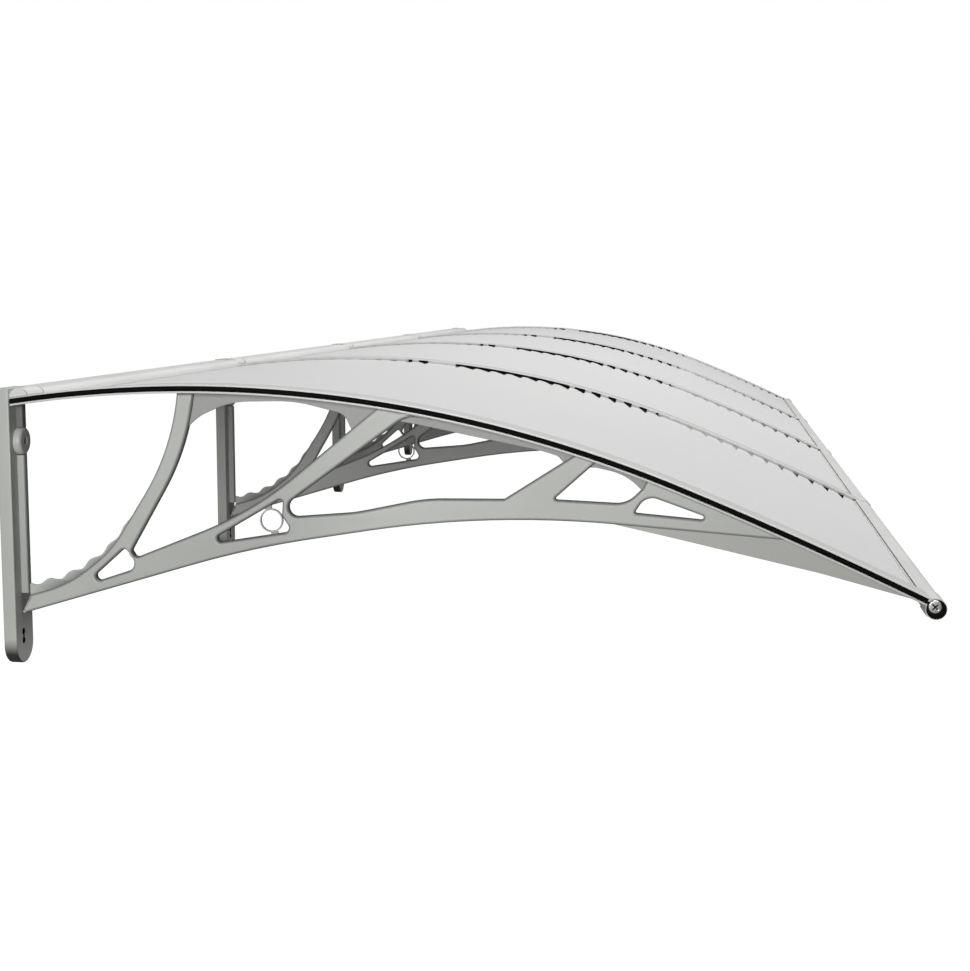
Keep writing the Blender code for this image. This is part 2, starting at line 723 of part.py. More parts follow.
def screw_mesh(way):
    """Cross-head screw in front of the end disc."""
    profile = [
        (0, 0),
        (SCREW_RADIUS, 0),
        (SCREW_RADIUS, SCREW_HEAD - SCREW_CROWN),
        (SCREW_RADIUS - SCREW_CROWN, SCREW_HEAD),
        (0, SCREW_HEAD),
    ]
    head = turned(profile, DISC_STEPS)
    cross = []
    for extra in (0.0, math.pi / 2):
        swing = Matrix.Rotation(SCREW_CROSS_TURN + extra, 2)
        length, width = SCREW_CROSS_LENGTH / 2, SCREW_CROSS_WIDTH / 2
        bar = [(-length, -width), (length, -width), (length, width), (-length, width)]
        bar = [tuple(swing @ Vector(point)) for point in bar]
        depth = (SCREW_HEAD - SCREW_CROSS_DEPTH, SCREW_HEAD + SCREW_CROSS_DEPTH)
        cross.append(extruded([bar], depth[0], depth[1], OUTWARD))
    nose = lifted(ROOF_LENGTH + NOSE_AHEAD, NOSE_LIFT)
    reach = way * (HALF_WIDTH + CLEARANCE + DISC_THICKNESS + CLEARANCE)
    spot_there = Matrix.Translation((reach, -nose[0] - SCREW_OUT, nose[1] + SCREW_UP))
    upright = spot_there @ Matrix.Rotation(way * math.pi / 2, 4, "Z")
    for solid in [head] + cross:
        bmesh.ops.transform(solid, matrix=upright, verts=solid.verts[:])
    return combined(head, cross, "DIFFERENCE", "end_screw")


def between(outline, width, name):
    """Straight piece of a section, centred on its place along the width."""
    return finished(extruded([outline], -width / 2, width / 2, SIDEWAYS), name)


def build():
    """Clear the scene and set every piece in its place."""
    for old in list(bpy.data.objects):
        bpy.data.objects.remove(old, do_unlink=True)
    holder = bpy.data.objects.new("canopy", None)
    bpy.context.scene.collection.objects.link(holder)

    cast_grey = material("cast_grey", "B9BBB7", 0.42, 0.0)
    post_grey = material("post_grey", "8E8F8B", 0.45, 0.0)
    profile_grey = material("profile_grey", "D2D3D1", 0.40, 0.0)
    sheet_milk = material("sheet_milk", "DADBDA", 0.25, 0.0)
    seal_black = material("seal_black", "141414", 0.70, 0.0)
    screw_steel = material("screw_steel", "D9D9D5", 0.30, 1.0)
    cap_grey = material("cap_grey", "A3A4A0", 0.40, 0.0)

    bay_gap = MODULE - PROFILE_WIDTH - 2 * CLEARANCE
    bar_outline = nose_outline(NOSE_RADIUS, -BAR_LAP)
    sleeve_outline = nose_outline(NOSE_RADIUS + SLEEVE_OVERSIZE, CLEARANCE)
    at_joints = (
        ("bracket_arm", arm_mesh(), cast_grey),
        ("wall_post", post_mesh(), post_grey),
        ("anchor_cap", cap_mesh(), cap_grey),
        ("arch_profile", profile_mesh(), profile_grey),
        ("front_sleeve", between(sleeve_outline, PROFILE_WIDTH, "front_sleeve"), profile_grey),
        ("rail_cap", between(rail_cap_outline(), PROFILE_WIDTH, "rail_cap"), profile_grey),
    )
    for name, mesh, look in at_joints:
        for number, x in enumerate(JOINTS, 1):
            place(f"{name}_{number}", mesh, look, x, holder)

    in_bays = (
        ("roof_sheet", sheet_mesh(), sheet_milk),
        ("front_bar", between(bar_outline, bay_gap, "front_bar"), profile_grey),
        ("wall_rail", between(rail_outline(), bay_gap, "wall_rail"), profile_grey),
    )
    for name, mesh, look in in_bays:
        for number, (left, right) in enumerate(BAYS, 1):
            place(f"{name}_{number}", mesh, look, (left + right) / 2, holder)

    seal = seal_mesh()
    for number, (_, right) in enumerate(BAYS, 1):
        place(f"joint_seal_{number}", seal, seal_black, right, holder)

    gasket = gasket_mesh()
    place("edge_gasket_left", gasket, seal_black, JOINTS[0], holder)
    opposite = place("edge_gasket_right", gasket, seal_black, JOINTS[-1], holder)
    opposite.scale = (-1, 1, 1)
    for side, way, x in (("left", -1, JOINTS[0]), ("right", 1, JOINTS[-1])):
        place(f"end_disc_{side}", disc_mesh(way), seal_black, x, holder)
        place(f"end_screw_{side}", screw_mesh(way), screw_steel, x, holder)


build()
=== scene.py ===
import math

import bpy
import numpy as np
from bpy.props import FloatProperty, FloatVectorProperty, IntProperty, StringProperty
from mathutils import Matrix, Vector


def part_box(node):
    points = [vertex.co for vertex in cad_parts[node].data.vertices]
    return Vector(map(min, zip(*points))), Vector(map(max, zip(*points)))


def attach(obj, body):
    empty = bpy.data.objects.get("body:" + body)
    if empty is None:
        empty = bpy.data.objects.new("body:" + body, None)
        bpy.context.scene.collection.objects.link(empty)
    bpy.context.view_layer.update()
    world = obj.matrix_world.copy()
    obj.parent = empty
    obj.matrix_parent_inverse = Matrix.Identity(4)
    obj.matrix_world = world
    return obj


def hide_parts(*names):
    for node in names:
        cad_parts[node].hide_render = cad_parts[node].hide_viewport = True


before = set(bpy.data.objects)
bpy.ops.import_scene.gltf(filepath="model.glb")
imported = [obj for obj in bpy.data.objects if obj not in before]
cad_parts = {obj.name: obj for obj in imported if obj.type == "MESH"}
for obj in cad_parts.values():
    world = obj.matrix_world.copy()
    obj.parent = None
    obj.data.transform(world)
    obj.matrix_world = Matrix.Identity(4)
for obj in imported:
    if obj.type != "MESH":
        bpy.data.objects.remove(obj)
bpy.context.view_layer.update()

bl_info = {
    "name": "Door canopy",
    "version": (1, 0, 0),
    "blender": (4, 5, 0),
    "location": "3D View > Sidebar > Canopy",
    "description": "Dresses an arched door canopy on lattice brackets and sets its stage",
    "category": "Object",
}

BODY = "root"
JOINT_COUNT = 5
JOINT_NUMBERS = range(1, JOINT_COUNT + 1)
BAY_NUMBERS = range(1, JOINT_COUNT)

# Roof curve, in metres from the wall plane: a crown arc, then a flatter front arc
ROOF_START = (0.0151, 0.1383)
ROOF_SLOPE = math.radians(8.6)
CROWN_ARC = (0.750, 1.412)
FRONT_ARC = (0.280, 4.428)
ROOF_LENGTH = CROWN_ARC[0] + FRONT_ARC[0]
CLEARANCE = 0.0003

# Heights above the roof curve, square to it
SLOT_HALF = 0.0028
PROFILE_TOP = 0.0040
PROFILE_FOOT = -0.0050
ARM_LIFT = PROFILE_FOOT - CLEARANCE
SHEET_FOOT = -SLOT_HALF + CLEARANCE
SHEET_TOP = SHEET_FOOT + 0.0026

# Lattice bracket corners: share of the roof's run, drop below the roof, fillet radius
PLATE = (
    ("edge", (0.0000, 0.2361, 0.001), (0.2687, 0.1707, 1.127), (0.5367, 0.0900, 1.151)),
    ("roof", 0.8601, 0.7073),
    ("edge", (0.7023, 0.0114, 0.005), (0.6854, 0.0341, 0.028), (0.6068, 0.0560, 0.0015)),
    ("roof", 0.6534, 0.6304),
    (
        "edge",
        (0.5529, 0.0708, 0.0015),
        (0.4663, 0.0902, 0.200),
        (0.3877, 0.1187, 0.200),
        (0.2881, 0.1358, 0.010),
        (0.4451, 0.0049, 0.035),
    ),
    ("roof", 0.4820, 0.4139),
    ("edge", (0.2703, 0.1298, 0.435), (0.1234, 0.1870, 0.006), (0.1961, 0.0652, 0.280)),
    ("roof", 0.2074, 0.1873),
    (
        "edge",
        (0.1807, 0.0609, 0.280),
        (0.1069, 0.1730, 0.150),
        (0.0547, 0.2086, 0.150),
        (0.0091, 0.2155, 0.001),
        (0.0009, 0.2301, 0.0),
    ),
)
HOLES = (
    ((0.0733, 0.2112, 0.0045), (0.1230, 0.1712, 0.004), (0.1388, 0.1943, 0.0095)),
    (
        (0.2147, 0.1685, 0.004),
        (0.3064, 0.1118, 0.003),
        (0.3049, 0.1321, 0.006),
        (0.3163, 0.1481, 0.0055),
    ),
    ((0.6941, 0.0407, 0.0015), (0.7064, 0.0169, 0.016), (0.7822, 0.0136, 0.0022)),
)
GUSSETS = (
    (
        ("roof", 0.4180, 0.1953),
        (
            "edge",
            (0.1903, 0.0457, 0.0),
            (0.2115, 0.0262, 0.050),
            (0.2480, 0.0095, 0.100),
            (0.3200, 0.0045, 0.150),
            (0.3757, 0.0125, 0.016),
            (0.3900, 0.0400, 0.0),
        ),
    ),
    (
        ("roof", 0.6320, 0.4280),
        (
            "edge",
            (0.4240, 0.0115, 0.0),
            (0.4582, 0.0115, 0.100),
            (0.5962, 0.0075, 0.150),
            (0.6113, 0.0082, 0.008),
            (0.6214, 0.0172, 0.0),
        ),
    ),
    (
        ("roof", 0.7160, 0.6400),
        ("edge", (0.6345, 0.0130, 0.0), (0.6520, 0.0072, 0.020), (0.6840, 0.0035, 0.060), (0.7060, 0.0165, 0.0)),
    ),
)
SAIL = (
    ("roof", 0.9951, 0.8712),
    (
        "edge",
        (0.8410, 0.0030, 0.0),
        (0.6899, 0.0420, 0.0),
        (0.6657, 0.0622, 0.0),
        (0.7352, 0.0516, 0.300),
        (0.8913, 0.0208, 0.200),
    ),
)
WEB_SINK = 0.0005
SCALLOP_EDGE = ((0.1807, 0.0609, 0.0), (0.1069, 0.1730, 0.150), (0.0547, 0.2086, 0.150), (0.0091, 0.2155, 0.0))
# Scalloped strip: start and length along the plate's edge, first crest, pitch, height at the start, height of the
# waves, depth of the hidden root, distance from the root within which painted shade darkens the strip, and reach from
# the wall
SCALLOP_START, SCALLOP_LENGTH = 0.0035, 0.175
SCALLOP_CREST, SCALLOP_PITCH = 0.0265, 0.0292
SCALLOP_HEIGHT, SCALLOP_WAVE = 0.0115, 0.0022
SCALLOP_ROOT, ROOT_SHADE, SCALLOP_WALL = 0.004, 0.0015, 0.0234
# Ring in the rear hole: its middle, its radii, thickness and rounding, and the lean, width and ends of its tabs
RING = (0.2924, 0.1381)
RING_OUTER, RING_INNER, RING_THICKNESS, RING_ROUNDING = 0.0131, 0.0115, 0.004, 0.0005
TAB_LEAN, TAB_WIDTH, TAB_ENDS = 0.0035, 0.008, (0.012, 0.0195)
# Painted shade over the foot of the second strut: the coat of the ribs is darker by this mark about this share of the
# roof's run, and fades over this share
PAINTED_SHADE_MARK, PAINTED_SHADE_SHARE, PAINTED_SHADE_FADE = 0.3, 0.28, 0.085

# Wall post: foot, top and depth of the bar, then how far its square rib stands out, its half width and rounding, its
# ends, and the half height of its gap round the anchor cap
POST_FOOT, POST_TOP, POST_DEPTH = -0.160, 0.153, 0.0148
RIDGE_OUT, RIDGE_HALF, RIDGE_ROUNDING = 0.0080, 0.0050, 0.0022
RIDGE_FOOT, RIDGE_TOP, RIDGE_GAP = -0.079, 0.1330, 0.0158
# Toward the foot painted shade darkens the posts' sides and painted light pales their fronts: two heights, and the tone
# from the second on
SIDES_PAINTED_SHADE, FRONT_PAINTED_LIGHT = (-0.129, -0.147, 0.08), (-0.098, -0.148, 2.1)
# Double slot hole near the foot: its middle, how far the lobes are from it, their radius, half the neck between them,
# and half the sides of the field round it where faces that aren't on the front are its walls, painted black as shade
HOLE_SIDE, HOLE_HEIGHT, LOBE_PLACE = -0.0032, -0.1287, 0.0052
LOBE_RADIUS, NECK_HALF = 0.0025, 0.0006
HOLE_FIELD = (0.0060, 0.0120)
# Anchor cap: height of its middle, radius, length and rim, then the radius, floor and bevel of its hexagon socket
CAP_HEIGHT, CAP_RADIUS, CAP_LENGTH, CAP_RIM = 0.093, 0.0155, 0.0085, 0.0040
SOCKET_RADIUS, SOCKET_FLOOR, SOCKET_BEVEL = 0.0046, 0.0050, 0.0004

# Joint profile: half its web, the roundings of its right side's corners from the foot up, then the band on its top,
# darker as painted shade: how far it stays in from the right edge, and its left end
PROFILE_WEB = 0.005
PROFILE_EDGES = (0.0006, 0.0003, 0.0, 0.0, 0.0003, 0.0006)
BAND_INSET, BAND_LEFT = 0.0010, -0.0100
# Edge gasket: how far its nose stays in from the profile's side, the nose's length and the roundings of its corners
GASKET_INSET, GASKET_NOSE = 0.0005, 0.002
GASKET_EDGES = (0.0, 0.0004, 0.0006, 0.0004, 0.0)

# Roof sheet: where it starts along the roof and how far it runs past the roof's end
SHEET_START, SHEET_PAST = 0.0030, 0.0067

# Front edge: middle of its round nose past the roof's end and above the roof curve, and its drip lip. Then the rear
# end, step and flange of the bars, the radii of bars, sleeves and discs, and the thickness and rim of the discs
NOSE = (0.0115, -0.0034)
DRIP_LIP = 0.0012
BAR_REAR, BAR_STEP, BAR_FLANGE, FLANGE_THICKNESS = -0.0050, 0.0021, 0.0030, 0.0005
BAR_RADIUS, SLEEVE_RADIUS, DISC_RADIUS = 0.0100, 0.0112, 0.0103
DISC_THICKNESS, DISC_RIM = 0.0012, 0.0004
# End screw: radius, height and rim of its head, half length, half width and floor of its cross recess, depth and spread
# of the recess's bevel, and its place from the middle of the nose, toward the wall and up
SCREW_RADIUS, SCREW_HEIGHT, SCREW_RIM = 0.0068, 0.0022, 0.0012
CROSS_LENGTH, CROSS_WIDTH, CROSS_FLOOR = 0.0038, 0.0007, 0.0010
CROSS_BEVEL, CROSS_SPREAD = 0.0002, 1.08
SCREW_PLACE = (0.0015, 0.0030)

# Wall rail: foot on the wall, radius of its nose, its ends along the roof and the thickness of its lower jaw. Then the
# rail cap's front end, its rise and the width of its rims, painted dark as shade
RAIL_FOOT, RAIL_NOSE, RAIL_REAR, RAIL_FRONT, RAIL_JAW = 0.131, 0.0096, 0.0027, 0.025, 0.003
RAIL_CAP_FRONT, RAIL_CAP_RISE, RAIL_CAP_RIM = 0.0225, 0.0090, 0.0012

# Radius of the small face that closes the middle of a turned body, and the turn from which an edge looks sharp
POLE = 0.0002
SHARP_ANGLE = math.radians(35)

# Seals: where the strip and its saw teeth start, how far apart the teeth are, how far before the roof's end the strip
# stops, its thickness and top, where the whole strip is black as painted shadow, where its teeth are black as painted
# shadow, and from what darkness on. Then for places along the roof the reach of the lip painted on the sheet, the part
# of the pitch before it, its darkness and its tail of painted shadow
STRIP_START, STRIP_STOP = 0.0253, 0.0085
TOOTH_START, TOOTH_PITCH = 0.0324, 0.02498
STRIP_THICKNESS, STRIP_TOP = 0.0014, 0.0030
STRIP_SHADOW = (0.377, 0.545)
TEETH_SHADOW = (0.300, 0.700)
TOOTH_TONE = 0.6
SEAL_ALONG = (
    (0.025, 0.012, 0.50, 0.35, 0.0),
    (0.235, 0.012, 0.50, 0.45, 0.0),
    (0.262, 0.020, 0.45, 0.70, 0.0),
    (0.332, 0.034, 0.40, 1.00, 0.0),
    (0.342, 0.000, 0.50, 0.00, 0.0),
    (0.372, 0.000, 0.50, 0.00, 0.0),
    (0.378, 0.030, 0.15, 1.00, 0.3),
    (0.420, 0.034, 0.18, 1.00, 0.7),
    (0.540, 0.036, 0.28, 1.00, 1.0),
    (0.606, 0.040, 0.42, 1.00, 1.0),
    (0.640, 0.042, 0.50, 1.00, 0.7),
    (0.700, 0.040, 0.55, 0.95, 0.0),
    (0.706, 0.000, 0.58, 0.00, 0.0),
    (0.736, 0.000, 0.58, 0.00, 0.0),
    (0.745, 0.042, 0.50, 0.35, 0.0),
    (0.860, 0.046, 0.56, 0.55, 0.0),
    (0.930, 0.050, 0.56, 0.90, 0.0),
    (0.960, 0.050, 0.56, 1.00, 0.0),
    (1.026, 0.050, 0.54, 1.00, 0.0),
)
# The reach of the lips is multiplied by the first number, plus the second in each bay after the first. The lips lean
# toward the wall by shares of their length, at these places along the roof
LIP_GROWTH = (1.15, 0.10)
LIP_LEAN = ((0.60, 0.74, 1.03), (0.0, 0.07, 0.12))
# How dark the painted lips and their tails make the sheet, step by step: result, first value, operation, second value,
# and whether the result is kept between 0 and 1. A lip's edge darkens over 1/600 m. Its tail is painted shadow: it
# starts at half the pitch, is up to 80 mm long and 0.65 as dark, and fades over 1/12 m. The sheet's gloss of 0.2 falls
# as it darkens
LIP_STEPS = (
    ("past", "along", "SUBTRACT", TOOTH_START, False),
    ("turns", "past", "DIVIDE", TOOTH_PITCH, False),
    ("rise", "turns", "FRACT", 0.0, False),
    ("ahead", "rise", "SUBTRACT", "wait", False),
    ("room", 1.0, "SUBTRACT", "wait", False),
    ("saw", "ahead", "DIVIDE", "room", True),
    ("length", "saw", "MULTIPLY", "reach", False),
    ("cover", "length", "SUBTRACT", "across", False),
    ("lip", "cover", "MULTIPLY", 600.0, True),
    ("late", "rise", "SUBTRACT", 0.50, False),
    ("narrow", "late", "MULTIPLY", 2.0, True),
    ("full", "narrow", "MULTIPLY", 0.080, False),
    ("long", "full", "MULTIPLY", "tail", False),
    ("rest", "long", "SUBTRACT", "across", False),
    ("fade", "rest", "MULTIPLY", 12.0, True),
    ("grey", "fade", "MULTIPLY", 0.65, False),
    ("most", "lip", "MAXIMUM", "grey", False),
    ("dark", "most", "MULTIPLY", "tone", False),
    ("clear", 1.0, "SUBTRACT", "dark", False),
    ("gloss", "clear", "MULTIPLY", 0.2, False),
)

# A noise pattern keeps mostly between these two values
NOISE_ENDS = {"From Min": 0.3, "From Max": 0.7}

# Lamps of the stage: place, target and size. The ground reaches this far every way
KEY_LAMP = ((-3.8, -0.2, 0.40), (-1.6, -0.45, 0.0), 0.7)
TOP_LAMP = ((0.2, -1.7, 4.9), (0.0, -0.45, 0.1), 3.6)
GROUND = 90.0


def linear(code):
    """Scene colour of an sRGB hex value: below 0.04045 divide by 12.92, else raise (v + 0.055) / 1.055 to 2.4."""
    values = np.array([int(code[i : i + 2], 16) / 255 for i in (0, 2, 4)])
    low = values / 12.92
    high = ((values + 0.055) / 1.055) ** 2.4
    return (*np.where(values <= 0.04045, low, high), 1.0)


def roof_curve(distance, lift):
    """Reach and height along the roof, lifted square off it.

    On an arc of radius R the slope falls by length / R. The reach grows by R times the fall in its
    sine and the height by R times the rise in its cosine. Past the last arc the line runs straight.
    """
    distance = np.asarray(distance, float)
    slope = np.full(distance.shape, ROOF_SLOPE)
    reach = np.full(distance.shape, ROOF_START[0])
    height = np.full(distance.shape, ROOF_START[1])
    left = distance.copy()
    for length, radius in (CROWN_ARC, FRONT_ARC):
        used = np.minimum(left, length)
        turned = slope - used / radius
        reach = reach + radius * (np.sin(slope) - np.sin(turned))
        height = height + radius * (np.cos(turned) - np.cos(slope))
        slope = turned
        left = left - used
    reach = reach + left * np.cos(slope) - lift * np.sin(slope)
    height = height + left * np.sin(slope) + lift * np.cos(slope)
    return np.stack([reach, height], -1)


ROOF_RUN = float(roof_curve(ROOF_LENGTH, 0.0)[0] - ROOF_START[0])
UNDERSIDE = roof_curve(np.linspace(-0.01, ROOF_LENGTH + 0.02, 2000), ARM_LIFT)


def under_roof(share, drop):
    """Bracket point: reach is the start plus share times the roof's run, height is the roof there less the drop."""
    reach = ROOF_START[0] + np.asarray(share, float) * ROOF_RUN
    return np.stack([reach, np.interp(reach, UNDERSIDE[:, 0], UNDERSIDE[:, 1]) - drop], -1)


def outline_of(runs, sink=0.0):
    """Corners and fillet radii of a closed outline, from runs along the roof and runs of listed corners."""
    points, radii = [], []
    for kind, *values in runs:
        if kind == "roof":
            shares = np.linspace(values[0], values[1], 2 + int(abs(values[1] - values[0]) * 80))
            points.append(under_roof(shares, sink))
            radii.append(np.zeros(len(shares)))
        else:
            table = np.array(values)
            points.append(under_roof(table[:, 0], table[:, 1]))
            radii.append(table[:, 2])
    return np.concatenate(points), np.concatenate(radii)


def filleted(corners, radii, steps=12):
    """Closed outline with round corners.

    An arc of radius r at a corner that turns by t starts r tan(t/2) before it and ends as far after it,
    about a centre r / cos(t/2) along the corner's bisector. Arcs that want more than a side shrink alike.
    """
    back = np.roll(corners, 1, 0) - corners
    ahead = np.roll(corners, -1, 0) - corners
    lengths = np.linalg.norm(ahead, axis=1)
    back /= np.maximum(np.linalg.norm(back, axis=1), 1e-9)[:, None]
    ahead /= np.maximum(lengths, 1e-9)[:, None]
    turn = np.arccos(np.clip(-(back * ahead).sum(1), -1, 1))
    half = np.maximum(np.tan(turn / 2), 1e-9)
    need = radii * half
    room = lengths / np.maximum(need + np.roll(need, -1), 1e-9)
    cut = need * np.minimum(1.0, np.minimum(room, np.roll(room, 1)))
    radius = cut / half
    bisector = back + ahead
    bisector /= np.maximum(np.linalg.norm(bisector, axis=1), 1e-9)[:, None]
    centre = corners + bisector * (radius / np.cos(turn / 2))[:, None]
    arm = corners + back * cut[:, None] - centre
    way = np.sign(ahead[:, 0] * back[:, 1] - ahead[:, 1] * back[:, 0])
    angle = (way * turn)[:, None] * np.linspace(0, 1, steps + 1)
    cosine, sine = np.cos(angle), np.sin(angle)
    x = centre[:, :1] + arm[:, :1] * cosine - arm[:, 1:] * sine
    y = centre[:, 1:] + arm[:, :1] * sine + arm[:, 1:] * cosine
    outline = np.stack([x, y], -1).reshape(-1, 2)
    gap = np.linalg.norm(outline - np.roll(outline, 1, 0), axis=1)
    return outline[gap > 1e-5]


def circle(centre, radius):
    """Outline of a circle: centre plus radius times cosine and sine of the angle."""
    angle = np.linspace(0, math.tau, 64, endpoint=False)
    return np.stack([centre[0] + radius * np.cos(angle), centre[1] + radius * np.sin(angle)], -1)


def plate(outlines, thickness, rounding, depth=None):
    """Points and faces of a flat plate with round edges, outline in its plane and thickness about it.

    The filled outline is pushed both ways by half the thickness less the rounding, and a quarter
    circle of the rounding runs round every edge, drawn in by the same amount. With a depth the
    quarter circle becomes a quarter ellipse that runs that deep into the thickness.
    """
    curve = bpy.data.curves.new("plate", "CURVE")
    curve.dimensions = "2D"
    curve.fill_mode = "BOTH"
    curve.extrude = thickness / 2 - rounding
    curve.bevel_depth = rounding
    curve.bevel_resolution = 2 if depth is None else 6
    curve.offset = -rounding
    for outline in outlines:
        spline = curve.splines.new("POLY")
        spline.points.add(len(outline) - 1)
        flat = np.zeros((len(outline), 4))
        flat[:, :2] = outline
        flat[:, 3] = 1.0
        spline.points.foreach_set("co", flat.ravel())
        spline.use_cyclic_u = True
    holder = bpy.data.objects.new("plate", curve)
    mesh = bpy.data.meshes.new_from_object(holder)
    points = np.zeros(len(mesh.vertices) * 3)
    mesh.vertices.foreach_get("co", points)
    faces = [tuple(face.vertices) for face in mesh.polygons]
    bpy.data.objects.remove(holder)
    bpy.data.curves.remove(curve)
    bpy.data.meshes.remove(mesh)
    points = points.reshape(-1, 3)
    if depth is not None:
        sunk = (thickness / 2 - np.abs(points[:, 2])) * depth / rounding
        points[:, 2] = np.sign(points[:, 2]) * (thickness / 2 - sunk)
    return points, faces


def carried(rings):
    """Points and faces of a section carried along a path, from an array of rings of points.

    Face (i, j) joins point j and j + 1 of ring i to those of ring i + 1. The last two faces fill the ends.
    """
    count, size = rings.shape[:2]
    i, j = np.meshgrid(np.arange(count - 1) * size, np.arange(size), indexing="ij")
    beside = (j + 1) % size
    quads = np.stack([i + j, i + beside, i + size + beside, i + size + j], -1)
    faces = [tuple(face) for face in quads.reshape(-1, 4).tolist()]
    faces.append(tuple(range(size - 1, -1, -1)))
    faces.append(tuple(range((count - 1) * size, count * size)))
    return rings.reshape(-1, 3), faces


def along_roof(section, distances):
    """Rings that carry a section of sideways and upward offsets along the roof curve."""
    place = roof_curve(distances[:, None], section[None, :, 1])
    side = np.broadcast_to(section[:, 0], place.shape[:2])
    return np.stack([side, -place[..., 0], place[..., 1]], -1)


def across(outline, *places):
    """Rings that carry an outline of reach and height straight along the width, from place to place."""
    return np.stack([np.stack([np.full(len(outline), x), -outline[:, 0], outline[:, 1]], -1) for x in places])


def rim(radius, height, rounding, steps):
    """Quarter circle round the rim of a turned body, from its face at that height out to its side."""
    swing = np.linspace(0, math.pi / 2, steps)
    return np.stack([radius - rounding + rounding * np.sin(swing), height - rounding + rounding * np.cos(swing)], -1)


def lathed(profile, turns, radius_of=None):
    """Rings of a body turned about the outward axis: radius times cosine and sine, at each profile height.

    A function of radius and angle may make the rings other than round.
    """
    angle = np.linspace(0, math.tau, turns, endpoint=False)
    radius = profile[:, :1] * np.ones(turns)
    if radius_of is not None:
        radius = radius_of(radius, angle)
    y = -profile[:, 1:] * np.ones(turns)
    return np.stack([radius * np.cos(angle), y, radius * np.sin(angle)], -1)


def join(parts):
    """Points and faces of several parts as one set."""
    points, faces, count = [], [], 0
    for some_points, some_faces in parts:
        points.append(some_points)
        faces += [tuple(index + count for index in face) for face in some_faces]
        count += len(some_points)
    return np.concatenate(points), faces


def upright(points):
    """Plate points set upright across the width: plane out and up, thickness along the width."""
    return np.stack([-points[:, 2], -points[:, 0], points[:, 1]], -1)


def piece(name, shape, materials, nodes, slot, which=None, marks=None):
    """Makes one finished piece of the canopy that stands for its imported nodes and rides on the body.

    Which gives each face's place in the materials. Marks are numbers per point, kept as named
    attributes for the materials.
    """
    points, faces = shape
    mesh = bpy.data.meshes.new(name)
    mesh.from_pydata(points.tolist(), [], faces)
    if mesh.validate():
        raise RuntimeError(f"{name} has faces that can't be kept")
    for material in materials:
        mesh.materials.append(material)
    if which is not None:
        mesh.polygons.foreach_set("material_index", which)
    for mark, values in (marks or {}).items():
        mesh.attributes.new(mark, "FLOAT", "POINT").data.foreach_set("value", values.astype(np.float32))
    mesh.shade_smooth()
    mesh.set_sharp_from_angle(angle=SHARP_ANGLE)
    made = bpy.data.objects.new(name, mesh)
    bpy.context.scene.collection.objects.link(made)
    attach(made, BODY)
    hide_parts(*nodes)


def at_joint(number, name, shape, materials, node, slot, **others):
    """One piece at one joint: its points moved along the width to the joint's middle."""
    points, faces = shape
    placed = (points + (joint_x(number), 0, 0), faces)
    piece(f"{name}_{number}", placed, materials, [f"{node}_{number}"], slot, **others)


def row(*values, **others):
    """The same piece at every joint."""
    for number in JOINT_NUMBERS:
        at_joint(number, *values, **others)


def bars(name, outline, materials, node, slot, **others):
    """One straight bar in every bay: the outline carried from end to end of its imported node."""
    for number in BAY_NUMBERS:
        shape = carried(across(outline, *bay_span(number, node)))
        piece(f"{name}_{number}", shape, materials, [f"{node}_{number}"], slot, **others)


def add(tree, kind, inputs=None, **settings):
    """Adds a node with its settings, and gives each named input a value or a link."""
    node = tree.nodes.new(kind)
    for name, value in settings.items():
        setattr(node, name, value)
    for name, value in (inputs or {}).items():
        if isinstance(value, bpy.types.NodeSocket):
            tree.links.new(value, node.inputs[name])
        else:
            node.inputs[name].default_value = value
    return node


def material(name, **constants):
    """A new material with a Principled shader and its fixed numbers; returns it, its tree and its shader."""
    made = bpy.data.materials.new(name)
    made.use_nodes = True
    tree = made.node_tree
    shader = tree.nodes["Principled BSDF"]
    for socket, value in constants.items():
        shader.inputs[socket.replace("_", " ")].default_value = value
    return made, tree, shader


def skin(tree, shader, colour, grain, roughness, depth, swell=None):
    """Gives a shader its colour, a roughness that runs with the grain between two values, and a relief of that depth.

    The relief follows the grain, or the swell where one is given.
    """
    ends = {"To Min": roughness[0], "To Max": roughness[1]}
    shine = add(tree, "ShaderNodeMapRange", {"Value": grain.outputs["Fac"], **NOISE_ENDS, **ends})
    height = (swell or grain).outputs["Fac"]
    bump = add(tree, "ShaderNodeBump", {"Height": height, "Strength": 1.0, "Distance": depth})
    tree.links.new(colour.outputs[2], shader.inputs["Base Color"])
    tree.links.new(shine.outputs["Result"], shader.inputs["Roughness"])
    tree.links.new(bump.outputs["Normal"], shader.inputs["Normal"])


